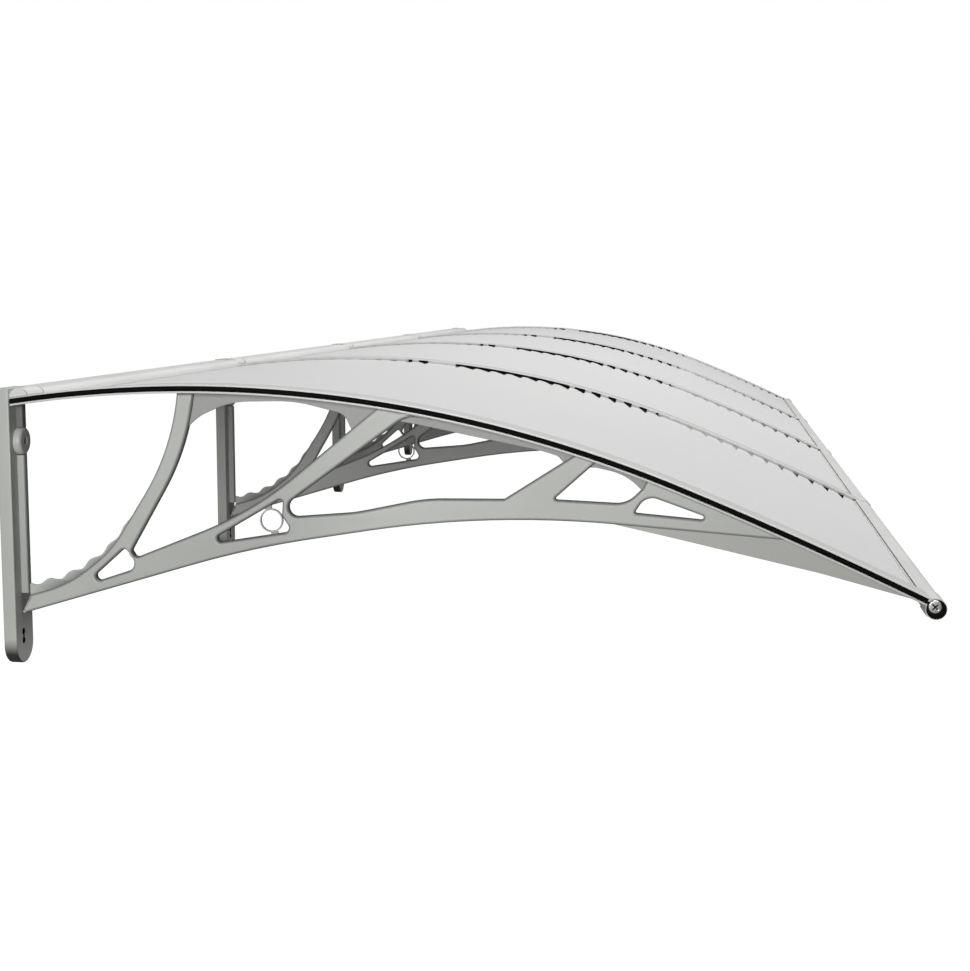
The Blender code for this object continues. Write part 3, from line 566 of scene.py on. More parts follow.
def powder_coat(name, code, roughness=0.44, low=None):
    """Polyester powder coat baked on cast aluminium: satin, with the fine orange peel of melted powder.

    The eye gets a broad soft highlight, a skin that is never quite flat, and a faint drift of tone.
    The mark "edge" darkens the coat as painted shade: on the ribs' rounded edges, over the foot of the
    second strut and in the crease at the scalloped strip's root.
    Low gives two heights and the tone the coat has from the second on: toward the foot it paints shade on the posts'
    sides and light on their fronts.
    The real peel is about 1 mm across; it is drawn at 2.5 mm so that it still shows.
    """
    made, tree, shader = material(name, IOR=1.5)
    place = add(tree, "ShaderNodeTexCoord").outputs["Object"]
    peel = add(tree, "ShaderNodeTexNoise", {"Vector": place, "Scale": 400.0, "Detail": 2.0, "Roughness": 0.45})
    drift = add(tree, "ShaderNodeTexNoise", {"Vector": place, "Scale": 6.0, "Detail": 2.0})
    edge = add(tree, "ShaderNodeAttribute", attribute_name="edge")
    tones = [
        {"Value": drift.outputs["Fac"], **NOISE_ENDS, "To Min": 0.95, "To Max": 1.05},
        # Painted shade: where the mark "edge" is 1 the coat is 0.32 as bright
        {"Value": edge.outputs["Fac"], "To Min": 1.0, "To Max": 0.32},
    ]
    # Painted light and shade by height: the tone runs from 1 at the first height to the given tone at the second
    if low is not None:
        height = add(tree, "ShaderNodeSeparateXYZ", {"Vector": place}).outputs["Z"]
        tones.append({"Value": height, "From Min": low[0], "From Max": low[1], "To Min": 1.0, "To Max": low[2]})
    shade = 1.0
    for inputs in tones:
        tone = add(tree, "ShaderNodeMapRange", inputs).outputs["Result"]
        shade = add(tree, "ShaderNodeMath", {0: shade, 1: tone}, operation="MULTIPLY").outputs[0]
    colour = add(tree, "ShaderNodeMix", {0: 1.0, 6: linear(code), 7: shade}, data_type="RGBA", blend_type="MULTIPLY")
    skin(tree, shader, colour, peel, (roughness - 0.04, roughness + 0.04), 0.00006)
    return made


def extruded_finish(name, code, along, roughness=0.38):
    """Satin finish on extruded aluminium: die lines run the length of the bar.

    The eye gets a pale, even face with very faint lines one way and a slightly stretched highlight.
    Real die lines are about 0.2 mm apart; they are drawn at 0.8 mm so that they still show.
    """
    made, tree, shader = material(name, IOR=1.5)
    place = add(tree, "ShaderNodeTexCoord").outputs["Object"]
    stretch = [1.0, 1.0, 1.0]
    stretch[along] = 0.01
    lined = add(tree, "ShaderNodeMapping", {"Vector": place, "Scale": stretch}).outputs["Vector"]
    lines = add(tree, "ShaderNodeTexNoise", {"Vector": lined, "Scale": 1250.0, "Detail": 1.0})
    drift = add(tree, "ShaderNodeTexNoise", {"Vector": place, "Scale": 5.0, "Detail": 2.0})
    ends = {"Value": drift.outputs["Fac"], **NOISE_ENDS, "To Min": 0.96, "To Max": 1.04}
    tone = add(tree, "ShaderNodeMapRange", ends).outputs["Result"]
    colour = add(tree, "ShaderNodeMix", {0: 1.0, 6: linear(code), 7: tone}, data_type="RGBA", blend_type="MULTIPLY")
    skin(tree, shader, colour, lines, (roughness - 0.05, roughness + 0.05), 0.00002)
    return made


def opal_sheet(name, code):
    """Opal polycarbonate, extruded as solid sheet and bent cold: milky, smooth, lets light through.

    The eye gets a pale even face with a soft gloss that varies over 2.5 mm, a very slight waviness over
    a hand's width, and a faint drift of tone. Black saw teeth are painted on it beside each joint, partly the
    seals' toothed lips and partly painted shadow: a tooth reaches from the joint by "reach" times the rise of the
    saw, which starts at the share "wait" of the pitch, and a grey tail of painted shadow runs on past its tip.
    The marks "across" and "along" give the distance from the joint and from the wall, "tone" the darkness and
    "tail" the length of the tail.
    Polycarbonate bends light at an IOR of 1.585.
    """
    made, tree, shader = material(name, IOR=1.585, Transmission_Weight=0.12)
    place = add(tree, "ShaderNodeTexCoord").outputs["Object"]
    wave = add(tree, "ShaderNodeTexNoise", {"Vector": place, "Scale": 9.0, "Detail": 1.0})
    fine = add(tree, "ShaderNodeTexNoise", {"Vector": place, "Scale": 400.0, "Detail": 2.0})
    drift = add(tree, "ShaderNodeTexNoise", {"Vector": place, "Scale": 3.0, "Detail": 1.0}).outputs["Fac"]
    plain = add(tree, "ShaderNodeMix", {0: drift, 6: linear(code), 7: linear("DBDCDC")}, data_type="RGBA")
    values = {}
    for mark in ("across", "along", "reach", "wait", "tone", "tail"):
        values[mark] = add(tree, "ShaderNodeAttribute", attribute_name=mark).outputs["Fac"]
    for result, first, operation, second, kept in LIP_STEPS:
        inputs = {0: values.get(first, first), 1: values.get(second, second)}
        values[result] = add(tree, "ShaderNodeMath", inputs, operation=operation, use_clamp=kept).outputs[0]
    tree.links.new(values["gloss"], shader.inputs["Specular IOR Level"])
    inputs = {0: values["dark"], 6: plain.outputs[2], 7: linear("050505")}
    tone = add(tree, "ShaderNodeMix", inputs, data_type="RGBA")
    skin(tree, shader, tone, fine, (0.36, 0.44), 0.0008, swell=wave)
    return made


# This black material is both the real rubber of gaskets, seals and discs and the painted shade in the post holes, the
# screws' recesses and on the seals' strips
def black_rubber(name, code):
    """Extruded EPDM rubber: near black, dull, with a faint bloom and a fine matt skin.

    The eye gets a soft dark edge without a sharp highlight. The skin's grain is about 0.3 mm, drawn at 1 mm.
    """
    made, tree, shader = material(name, IOR=1.52, Specular_IOR_Level=0.1)
    place = add(tree, "ShaderNodeTexCoord").outputs["Object"]
    grain = add(tree, "ShaderNodeTexNoise", {"Vector": place, "Scale": 1000.0, "Detail": 3.0})
    bloom = add(tree, "ShaderNodeTexNoise", {"Vector": place, "Scale": 25.0, "Detail": 3.0}).outputs["Fac"]
    tone = add(tree, "ShaderNodeMix", {0: bloom, 6: linear(code), 7: linear("101010")}, data_type="RGBA")
    skin(tree, shader, tone, grain, (0.62, 0.78), 0.00004)
    return made


def turned_steel(name, code):
    """Stainless steel screw head, cold formed and tumbled: bright and softly matt.

    The eye gets a bright metal without a sharp reflection, with a very fine speckle of about 1 mm.
    """
    made, tree, shader = material(name, Metallic=1.0)
    place = add(tree, "ShaderNodeTexCoord").outputs["Object"]
    speck = add(tree, "ShaderNodeTexNoise", {"Vector": place, "Scale": 900.0, "Detail": 3.0})
    inputs = {0: speck.outputs["Fac"], 6: linear(code), 7: linear("BFC0BC")}
    tone = add(tree, "ShaderNodeMix", inputs, data_type="RGBA")
    skin(tree, shader, tone, speck, (0.44, 0.54), 0.00002)
    return made


def look(name, maker, *values, **numbers):
    """The material of that name, made the first time it is asked for."""
    return bpy.data.materials.get(name) or maker(name, *values, **numbers)


def joint_x(number):
    """Place of a joint along the width: the middle of its packed profile."""
    low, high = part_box(f"arch_profile_{number}")
    return (low.x + high.x) / 2


def bay_span(number, node):
    """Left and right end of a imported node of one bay."""
    low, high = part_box(f"{node}_{number}")
    return low.x, high.x


class CanopySizes(bpy.types.PropertyGroup):
    """Sizes of the canopy's finish that a user may change."""

    rib_thickness: FloatProperty(
        name="Rib thickness", description="Thickness of the cast ribs", default=0.012, unit="LENGTH"
    )
    web_thickness: FloatProperty(
        name="Web thickness", description="Thickness of the thin webs", default=0.003, unit="LENGTH"
    )
    rib_rounding: FloatProperty(
        name="Rib rounding", description="Width of the ribs' rounded edges", default=0.0032, unit="LENGTH"
    )
    rib_depth: FloatProperty(
        name="Rib depth", description="Depth of the ribs' rounded edges", default=0.0048, unit="LENGTH"
    )
    web_rounding: FloatProperty(
        name="Web rounding", description="Radius of the webs' edges", default=0.0006, unit="LENGTH"
    )
    profile_width: FloatProperty(
        name="Profile width", description="Width of the joint profile", default=0.046, unit="LENGTH"
    )
    post_rounding: FloatProperty(
        name="Post rounding", description="Width of the posts' rounded edges", default=0.0012, unit="LENGTH"
    )
    post_depth: FloatProperty(
        name="Post depth", description="Depth of the posts' rounded edges", default=0.0022, unit="LENGTH"
    )
    roof_steps: IntProperty(name="Roof steps", description="Steps along the bent roof", default=120, min=24)


class CanopyColours(bpy.types.PropertyGroup):
    """Colours of the canopy, as sRGB hex values."""

    rib: StringProperty(name="Ribs", description="Coat of the ribs", default="B6B8B4")
    # Painted shade: the webs and front webs are darker than the ribs for their shade under the roof
    web: StringProperty(name="Webs", description="Coat of the thin webs", default="969794")
    sail: StringProperty(name="Front webs", description="Coat of the long front webs", default="B0B1AD")
    post: StringProperty(name="Posts", description="Coat of the posts", default="B4B6B2")
    # Painted shade: the ribs down the posts get a darker copy of the posts' coat
    ridge: StringProperty(name="Post ribs", description="Coat of the ribs down the posts", default="A4A6A2")
    # Painted shadow: the ribs above the anchor caps lie in the shadow of the roof's edge above
    post_top: StringProperty(name="Post tops", description="Coat of the ribs above the anchor caps", default="5E605D")
    profile: StringProperty(name="Profiles", description="Finish of profiles, rails and front bars", default="CCCDCB")
    rail: StringProperty(name="Rails", description="Finish of the wall rails", default="D4D5D3")
    # Painted shade: the band on top of the profiles is darker than the rest of them
    flutes: StringProperty(name="Bands", description="Band on top of the profiles", default="B6B7B5")
    shade: StringProperty(name="Cut ends", description="Rims of the rail caps", default="4A4B49")
    # Painted shade: the step behind the front bars is darkened for the shade in the gap behind them
    groove: StringProperty(name="Groove", description="Step behind the front bars", default="5A5B59")
    sheet: StringProperty(name="Sheet", description="Opal polycarbonate", default="DFDFDE")
    seal: StringProperty(name="Seal strip", description="Bare runs of the seals' strip", default="CECFCD")
    rubber: StringProperty(name="Rubber", description="Seals, gaskets and end discs", default="060606")
    steel: StringProperty(name="Steel", description="Screw heads", default="E2E2DE")


class CanopyStage(bpy.types.PropertyGroup):
    """Camera and light of the stage."""

    eye: FloatVectorProperty(
        name="Camera place", description="Where the camera stands", default=(-3.307, -0.780, 0.256), unit="LENGTH"
    )
    aim: FloatVectorProperty(
        name="Camera aim", description="Direction in which the camera looks", default=(0.9836, 0.1367, -0.1181)
    )
    lens: FloatProperty(name="Lens", description="Focal length in millimetres", default=59.70)
    key: FloatProperty(name="Key lamp", description="Power of the lamp beside the camera", default=41.0, unit="POWER")
    top: FloatProperty(name="Top lamp", description="Power of the lamp over the roof", default=375.0, unit="POWER")
    sky: FloatProperty(name="Sky", description="Strength of the plain light all round", default=0.10)
    floor_height: FloatProperty(
        name="Floor", description="Height of the ground under the canopy", default=-2.1, unit="LENGTH"
    )


class CANOPY_OT_brackets(bpy.types.Operator):
    """Cast the lattice brackets: thick ribs, thin webs, scalloped strip and ring"""

    bl_idname = "canopy.brackets"
    bl_label = "Lattice brackets"

    def execute(self, context):
        sizes, colours = context.scene.canopy_sizes, context.scene.canopy_colours
        rib = look("coat_rib", powder_coat, colours.rib)
        # Painted shade: the thin webs and front webs get darker copies of the ribs' coat
        web = look("coat_web", powder_coat, colours.web, roughness=0.5)
        front = look("coat_sail", powder_coat, colours.sail, roughness=0.5)
        thickness = (sizes.web_thickness, sizes.web_rounding)
        outlines = [filleted(*outline_of(PLATE))]
        outlines += [filleted(*outline_of([("edge", *corners)])) for corners in HOLES]
        ribs = [plate(outlines, sizes.rib_thickness, sizes.rib_rounding, sizes.rib_depth)]
        # How deep each point lies in the ribs' rounded edges; the mark "edge" paints shade there by it
        sunk = np.sqrt(np.clip((sizes.rib_thickness / 2 - np.abs(ribs[0][0][:, 2])) / sizes.rib_depth, 0, 1))
        sail = plate([filleted(*outline_of(SAIL, WEB_SINK))], *thickness)
        thin = [plate([filleted(*outline_of(runs, WEB_SINK))], *thickness) for runs in GUSSETS]
        strip, root = self.scallops()
        ribs.append(plate([strip], *thickness))
        gaps = np.linalg.norm(ribs[1][0][:, None, :2] - root[None], axis=2).min(1)
        centre = under_roof(*RING)
        rings = [circle(centre, RING_OUTER), circle(centre, RING_INNER)]
        ribs.append(plate(rings, RING_THICKNESS, RING_ROUNDING))
        for way in (1, -1):
            left = centre[0] - way * TAB_LEAN - TAB_WIDTH / 2
            low, high = sorted(centre[1] + way * end for end in TAB_ENDS)
            tab = np.array([(left, low), (left + TAB_WIDTH, low), (left + TAB_WIDTH, high), (left, high)])
            thin.append(plate([tab], *thickness))
        points, faces = join(ribs + thin + [sail])
        counts = [sum(len(part[1]) for part in group) for group in (ribs, thin, [sail])]
        which = np.repeat(np.arange(3), counts).astype(np.int32)
        share = (points[: len(sunk), 0] - ROOF_START[0]) / ROOF_RUN
        # Painted shade over the foot of the second strut
        painted_shade = PAINTED_SHADE_MARK * np.exp(-(((share - PAINTED_SHADE_SHARE) / PAINTED_SHADE_FADE) ** 2))
        edge = np.zeros(len(points))
        edge[: len(sunk)] = np.minimum(sunk + painted_shade, 1.0)
        # Painted shade in the crease where the scalloped strip meets the rib
        edge[len(sunk) : len(sunk) + len(gaps)] = gaps < ROOT_SHADE
        shape, coats, marks = (upright(points), faces), [rib, web, front], {"edge": edge}
        row("bracket_casting", shape, coats, "bracket_arm", "bracket_paint", which=which, marks=marks)
        return {"FINISHED"}

    def scallops(self):
        """Wavy strip and its hidden root: offset from the plate's edge is a falling mean plus a fading cosine."""
        corners, radii = outline_of([("edge", *SCALLOP_EDGE)])
        rounded = filleted(corners, radii, 24)
        start = int(np.argmin(np.linalg.norm(rounded - corners[-1], axis=1)))
        line = np.roll(rounded, -start, 0)
        if np.linalg.norm(line[1] - corners[0]) < 1e-4:
            line = np.concatenate([line[:1], line[1:][::-1]])
        lengths = np.concatenate([[0], np.cumsum(np.linalg.norm(np.diff(line, axis=0), axis=1))])
        share = np.linspace(0, 1, 160)
        distance = SCALLOP_START + SCALLOP_LENGTH * share
        on = np.stack([np.interp(distance, lengths, line[:, k]) for k in (0, 1)], -1)
        way = np.gradient(on, axis=0)
        way /= np.linalg.norm(way, axis=1)[:, None]
        off = np.stack([-way[:, 1], way[:, 0]], -1)
        phase = math.tau * (distance - SCALLOP_CREST) / SCALLOP_PITCH
        offset = SCALLOP_HEIGHT * (1 - share) ** 1.3 + SCALLOP_WAVE * np.cos(phase) * (1 - share**2)
        crest = on + off * offset[:, None]
        root = on - off * SCALLOP_ROOT
        wall = np.array([(SCALLOP_WALL, root[0, 1]), (SCALLOP_WALL, crest[0, 1])])
        return np.concatenate([wall, crest[1:], root[:0:-1]]), root


class CANOPY_OT_posts(bpy.types.Operator):
    """Cast the wall posts with their square ribs, and the anchor caps on them"""

    bl_idname = "canopy.posts"
    bl_label = "Wall posts and anchor caps"

    def execute(self, context):
        sizes, colours = context.scene.canopy_sizes, context.scene.canopy_colours
        # Painted shade darkens the posts' sides toward the foot; painted light pales their fronts there
        coat = look("coat_post", powder_coat, colours.post, low=SIDES_PAINTED_SHADE)
        front_painted_light_coat = look("coat_post_front", powder_coat, colours.post, low=FRONT_PAINTED_LIGHT)
        # Painted shade: a darker copy of the posts' coat for their ribs
        ridge = look("coat_post_ridge", powder_coat, colours.ridge)
        # Painted shadow: a dark copy of the posts' coat for the ribs above the caps
        shaded = look("coat_post_top", powder_coat, colours.post_top)
        painted_hole_shade = look("rubber_black", black_rubber, colours.rubber)
        half = sizes.profile_width / 2
        swing = np.linspace(math.pi, math.tau, 33)
        outline = np.stack([half * np.cos(swing), POST_FOOT + half + half * np.sin(swing)], -1)
        outline = np.concatenate([outline, [(half, POST_TOP), (-half, POST_TOP)]])
        neck = math.asin(NECK_HALF / LOBE_RADIUS)
        lobes = []
        for way in (1, -1):
            angle = -way * math.pi / 2 + neck + np.linspace(0, math.tau - 2 * neck, 25)
            middle = (HOLE_SIDE, HOLE_HEIGHT + way * LOBE_PLACE)
            lobes.append(middle + LOBE_RADIUS * np.stack([np.cos(angle), np.sin(angle)], -1))
        outlines = [outline, np.concatenate(lobes)]
        bar, faces = plate(outlines, POST_DEPTH, sizes.post_rounding, sizes.post_depth)
        near_hole = (np.abs(bar[:, :2] - (HOLE_SIDE, HOLE_HEIGHT)) < HOLE_FIELD).all(1)
        on_front = bar[:, 2] > POST_DEPTH / 2 - 1e-5
        sides, in_hole, shadowed_ridge_top, in_front, on_ridge = range(5)
        which = []
        for face in faces:
            on = list(face)
            # Faces of the hole's walls are painted black as shade
            behind = in_hole if near_hole[on].all() else sides
            which.append(in_front if on_front[on].all() else behind)
        bar = np.stack([bar[:, 0], -bar[:, 2] - POST_DEPTH / 2, bar[:, 1]], -1)
        back, front = POST_DEPTH / 2, POST_DEPTH + RIDGE_OUT
        corners = np.array([(-RIDGE_HALF, back), (-RIDGE_HALF, front), (RIDGE_HALF, front), (RIDGE_HALF, back)])
        section = filleted(corners, np.array([0.0, RIDGE_ROUNDING, RIDGE_ROUNDING, 0.0]), 8)
        parts = [(bar, faces)]
        below, above = (RIDGE_FOOT, CAP_HEIGHT - RIDGE_GAP), (CAP_HEIGHT + RIDGE_GAP, RIDGE_TOP)
        for ends, coat_place in ((below, on_ridge), (above, shadowed_ridge_top)):
            rings = [np.stack([section[:, 0], -section[:, 1], np.full(len(section), z)], -1) for z in ends]
            parts.append(carried(np.stack(rings)))
            which += [coat_place] * len(parts[-1][1])
        post, which, coats = join(parts), np.array(which, np.int32), [coat, painted_hole_shade, shaded, front_painted_light_coat, ridge]
        points, faces = carried(self.cap())
        cap = (points + (0, -POST_DEPTH - CLEARANCE, CAP_HEIGHT), faces)
        cap_coat = look("coat_cap", powder_coat, colours.post, roughness=0.36)
        for number in JOINT_NUMBERS:
            at_joint(number, "post_casting", post, coats, "wall_post", "post_paint", which=which)
            at_joint(number, "cap_turned", cap, [cap_coat], "anchor_cap", "cap_paint")
        return {"FINISHED"}

    def cap(self):
        """Turned cap: rings from the socket floor out over a hexagon edge and a round rim to the flat back."""
        floor = [(POLE, SOCKET_FLOOR), (SOCKET_RADIUS, SOCKET_FLOOR)]
        edge = [(SOCKET_RADIUS, CAP_LENGTH - SOCKET_BEVEL), (SOCKET_RADIUS + SOCKET_BEVEL, CAP_LENGTH)]
        side = rim(CAP_RADIUS, CAP_LENGTH, CAP_RIM, 9)
        profile = np.concatenate([floor, edge, side, [(CAP_RADIUS, 0.0), (POLE, 0.0)]])

        def hexagon(radius, angle):
            """Inside the socket the radius follows a hexagon: the flat's distance over the cosine from its middle."""
            from_flat = np.mod(angle, math.pi / 3) - math.pi / 6
            share = np.array([1, 1, 1, 0.9] + [0] * (len(radius) - 4))[:, None]
            shape = math.cos(math.pi / 6) / np.cos(from_flat)
            return radius * (1 - share + share * shape)

        return lathed(profile, 72, hexagon)


class CANOPY_OT_profiles(bpy.types.Operator):
    """Bend the joint profiles over the brackets, with the gaskets in their open end slots"""

    bl_idname = "canopy.profiles"
    bl_label = "Joint profiles and gaskets"

    def execute(self, context):
        sizes, colours = context.scene.canopy_sizes, context.scene.canopy_colours
        finish = look("satin_profile", extruded_finish, colours.profile, 1)
        # Painted shade: a darker copy of the profiles' finish for the band on their top
        top_band_shaded = look("satin_flutes", extruded_finish, colours.flutes, 1, roughness=0.6)
        rubber = look("rubber_black", black_rubber, colours.rubber)
        half, web, slot = sizes.profile_width / 2, PROFILE_WEB, SLOT_HALF
        right = [(half, PROFILE_FOOT), (half, -slot), (web, -slot), (web, slot), (half, slot), (half, PROFILE_TOP)]
        band = [(half - BAND_INSET, PROFILE_TOP), (BAND_LEFT, PROFILE_TOP)]
        corners = np.array(right + band + [(-side, lift) for side, lift in reversed(right)])
        section = filleted(corners, np.array([*PROFILE_EDGES, 0.0, 0.0, *reversed(PROFILE_EDGES)]), 3)
        middle = (section + np.roll(section, -1, 0)) / 2
        on_band = (middle[:, 0] > BAND_LEFT) & (middle[:, 0] < half - BAND_INSET)
        on_band &= middle[:, 1] > PROFILE_TOP - 1e-5
        distances = np.linspace(PROFILE_TOP * math.tan(ROOF_SLOPE), ROOF_LENGTH, sizes.roof_steps)
        shape = carried(along_roof(section, distances))
        which = np.append(np.tile(on_band, len(distances) - 1), [False, False]).astype(np.int32)
        row("profile_bent", shape, [finish, top_band_shaded], "arch_profile", "profile_paint", which=which)
        face, back, tall = -half + GASKET_INSET, -web - CLEARANCE, slot - CLEARANCE
        behind = face + GASKET_NOSE
        corners = np.array([(back, -tall), (behind, -tall), (face, 0.0), (behind, tall), (back, tall)])
        section = filleted(corners, np.array(GASKET_EDGES), 4)
        for side, way, number in (("left", 1, 1), ("right", -1, JOINT_COUNT)):
            turned = section * (way, 1)
            points, faces = carried(along_roof(turned[::way], distances))
            shape = (points + (joint_x(number), 0, 0), faces)
            piece(f"gasket_drawn_{side}", shape, [rubber], [f"edge_gasket_{side}"], "seal_rubber")
        return {"FINISHED"}


class CANOPY_OT_sheets(bpy.types.Operator):
    """Bend the roof sheets between the profiles"""

    bl_idname = "canopy.sheets"
    bl_label = "Roof sheets"

    def execute(self, context):
        sizes, colours = context.scene.canopy_sizes, context.scene.canopy_colours
        opal = look("opal_polycarbonate", opal_sheet, colours.sheet)
        table = np.array(SEAL_ALONG)
        for number in BAY_NUMBERS:
            side = np.linspace(*bay_span(number, "roof_sheet"), 9)
            lift = np.repeat([SHEET_FOOT, SHEET_TOP], len(side))
            section = np.stack([np.concatenate([side, side[::-1]]), lift], -1)
            distances = np.linspace(SHEET_START, ROOF_LENGTH + SHEET_PAST, 2 * sizes.roof_steps)
            shape = carried(along_roof(section, distances))
            along, beside = (part.ravel() for part in np.meshgrid(distances, section[:, 0], indexing="ij"))
            beyond = joint_x(number + 1) - sizes.profile_width / 2 - beside
            # Marks for the black teeth and the grey tails painted on the sheet; the tails are painted shadow
            marks = {"across": beyond, "along": along + np.interp(along, *LIP_LEAN) * beyond}
            for column, mark in enumerate(("reach", "wait", "tone", "tail"), 1):
                marks[mark] = np.interp(along, table[:, 0], table[:, column])
            marks["reach"] *= LIP_GROWTH[0] + LIP_GROWTH[1] * (number - 1)
            piece(f"sheet_bent_{number}", shape, [opal], [f"roof_sheet_{number}"], "roof_polycarbonate", marks=marks)
        return {"FINISHED"}


class CANOPY_OT_seals(bpy.types.Operator):
    """Lay the seals along the joints: a standing strip, black in one run and on its teeth as painted shadow"""

    bl_idname = "canopy.seals"
    bl_label = "Toothed seals"

    def execute(self, context):
        sizes, colours = context.scene.canopy_sizes, context.scene.canopy_colours
        rubber = look("rubber_black", black_rubber, colours.rubber)
        pale = look("seal_pale", extruded_finish, colours.seal, 1, roughness=0.6)
        along = np.linspace(STRIP_START, ROOF_LENGTH - STRIP_STOP, 4 * sizes.roof_steps)
        far = -sizes.profile_width / 2 - CLEARANCE
        near, foot = far - STRIP_THICKNESS, SHEET_TOP + CLEARANCE
        section = np.array([(near, foot), (far, foot), (far, STRIP_TOP), (near, STRIP_TOP)])
        points, faces = carried(along_roof(section, along))
        table, at = np.array(SEAL_ALONG), along[1:]
        rise = np.mod((at - TOOTH_START) / TOOTH_PITCH, 1.0)
        wait, tone = (np.interp(at, table[:, 0], table[:, column]) for column in (2, 3))
        # Painted shadow: the strip is black in this run and on the teeth where the lips are dark
        shadow_faces = (at > STRIP_SHADOW[0]) & (at < STRIP_SHADOW[1])
        shadow_faces |= (rise > wait) & (tone > TOOTH_TONE) & (at > TEETH_SHADOW[0]) & (at < TEETH_SHADOW[1])
        which = np.append(np.repeat(shadow_faces, 4), [False, False]).astype(np.int32)
        for number in BAY_NUMBERS:
            shape = (points + (joint_x(number + 1), 0, 0), faces)
            piece(f"seal_cut_{number}", shape, [pale, rubber], [f"joint_seal_{number}"], "seal_rubber", which=which)
        return {"FINISHED"}


class CANOPY_OT_front(bpy.types.Operator):
    """Draw the front bars and sleeves, with the end discs and their screws"""

    bl_idname = "canopy.front"
    bl_label = "Front bars, end discs and screws"

    def execute(self, context):
        sizes, colours = context.scene.canopy_sizes, context.scene.canopy_colours
        finish = look("satin_bar", extruded_finish, colours.profile, 0)
        rubber = look("rubber_black", black_rubber, colours.rubber)
        steel = look("screw_steel", turned_steel, colours.steel)
        groove = look("bar_groove", extruded_finish, colours.groove, 0, roughness=0.6)
        half = sizes.profile_width / 2
        bar = self.nose(BAR_RADIUS, BAR_REAR, BAR_STEP, BAR_FLANGE)
        # The third face climbs the step behind the flange; it is painted dark grey as the shade in the gap behind the
        # bar
        which = np.zeros(len(bar) + 2, np.int32)
        which[2] = 1
        bars("bar_drawn", bar, [finish, groove], "front_bar", "profile_paint", which=which)
        sleeve = self.nose(SLEEVE_RADIUS, CLEARANCE, PROFILE_TOP - SHEET_TOP - CLEARANCE)
        row("sleeve_drawn", carried(across(sleeve, -half, half)), [finish], "front_sleeve", "profile_paint")
        nose = roof_curve(ROOF_LENGTH + NOSE[0], NOSE[1])
        side_of_disc = rim(DISC_RADIUS, DISC_THICKNESS, DISC_RIM, 4)
        profile = np.concatenate([[(POLE, DISC_THICKNESS)], side_of_disc, [(DISC_RADIUS, 0.0), (POLE, 0.0)]])
        disc, disc_faces = carried(lathed(profile, 64))
        rings = self.screw()
        screw, screw_faces = carried(rings)
        # The first two rings of faces are the floor and the walls of the recess, painted black as shade
        which = np.zeros(len(screw_faces), np.int32)
        which[: 2 * rings.shape[1]] = 1
        for side, way, number in (("left", -1, 1), ("right", 1, JOINT_COUNT)):
            middle = np.array([joint_x(number) + way * (half + CLEARANCE), -nose[0], nose[1]])
            shape = (self.sideways(disc, way) + middle, disc_faces)
            piece(f"disc_moulded_{side}", shape, [rubber], [f"end_disc_{side}"], "disc_rubber")
            middle += (way * (DISC_THICKNESS + CLEARANCE), *SCREW_PLACE)
            shape = (self.sideways(screw, way) + middle, screw_faces)
            piece(f"screw_formed_{side}", shape, [steel, rubber], [f"end_screw_{side}"], "screw_steel", which=which)
        return {"FINISHED"}

    def nose(self, radius, rear, step, flange=0.0):
        """Round-nosed section: the thin flange over the sheet, a step up at the rear, then a line that touches the
        round nose, the nose itself, its drip lip and the jaw with the sheet's slot."""
        centre = np.array(NOSE)
        roof, floor = SHEET_TOP + CLEARANCE, SHEET_FOOT - CLEARANCE
        to_top = np.array([rear, roof + step]) - centre
        start = math.atan2(to_top[1], to_top[0]) - math.acos(radius / np.linalg.norm(to_top))
        lip, behind_lip, last = np.radians([-112, -126, -146])
        arcs = (
            (radius, np.linspace(start, lip, 33)),
            (radius + DRIP_LIP, np.array([lip, behind_lip])),
            (radius, np.linspace(behind_lip, last, 7)),
        )
        round_part = [centre + size * np.stack([np.cos(angle), np.sin(angle)], -1) for size, angle in arcs]
        throat, thin = SHEET_PAST + CLEARANCE, roof + FLANGE_THICKNESS
        rear_part = [(rear - flange, roof), (rear - flange, thin), (rear, thin + 1e-5), (rear, roof + step)]
        if not flange:
            del rear_part[1:3]
        jaw = [(rear, PROFILE_FOOT), (rear, floor), (throat, floor), (throat, roof)]
        section = np.concatenate([rear_part, *round_part, jaw])
        return roof_curve(ROOF_LENGTH + section[:, 0], section[:, 1])

    def sideways(self, points, way):
        """Turn a body from the outward axis to the width's axis, facing the left or the right end."""
        return np.stack([-way * points[:, 1], way * points[:, 0], points[:, 2]], -1)

    def screw(self):
        """Pan head with a cross recess: inside it the radius follows a cross, the wider of two crossed bars.

        The recess is given in shares of the cross: a share of 1 is its wall, and the spread its bevelled edge.
        """
        recess = [(POLE / 2, CROSS_FLOOR), (1.0, CROSS_FLOOR), (1.0, SCREW_HEIGHT - CROSS_BEVEL)]
        head = rim(SCREW_RADIUS, SCREW_HEIGHT, SCREW_RIM, 7)
        back = [(SCREW_RADIUS, 0.0), (POLE / 2, 0.0)]
        profile = np.concatenate([recess, [(CROSS_SPREAD, SCREW_HEIGHT)], head, back])

        def cross(radius, angle):
            """Radius of a bar at an angle is the lesser of length over cosine and half width over sine."""
            c, s = np.abs(np.cos(angle - math.pi / 4)) + 1e-6, np.abs(np.sin(angle - math.pi / 4)) + 1e-6
            one = np.minimum(CROSS_LENGTH / c, CROSS_WIDTH / s)
            other = np.minimum(CROSS_LENGTH / s, CROSS_WIDTH / c)
            return np.where(radius > 0.5, radius * np.maximum(one, other), radius)

        return lathed(profile, 144, cross)


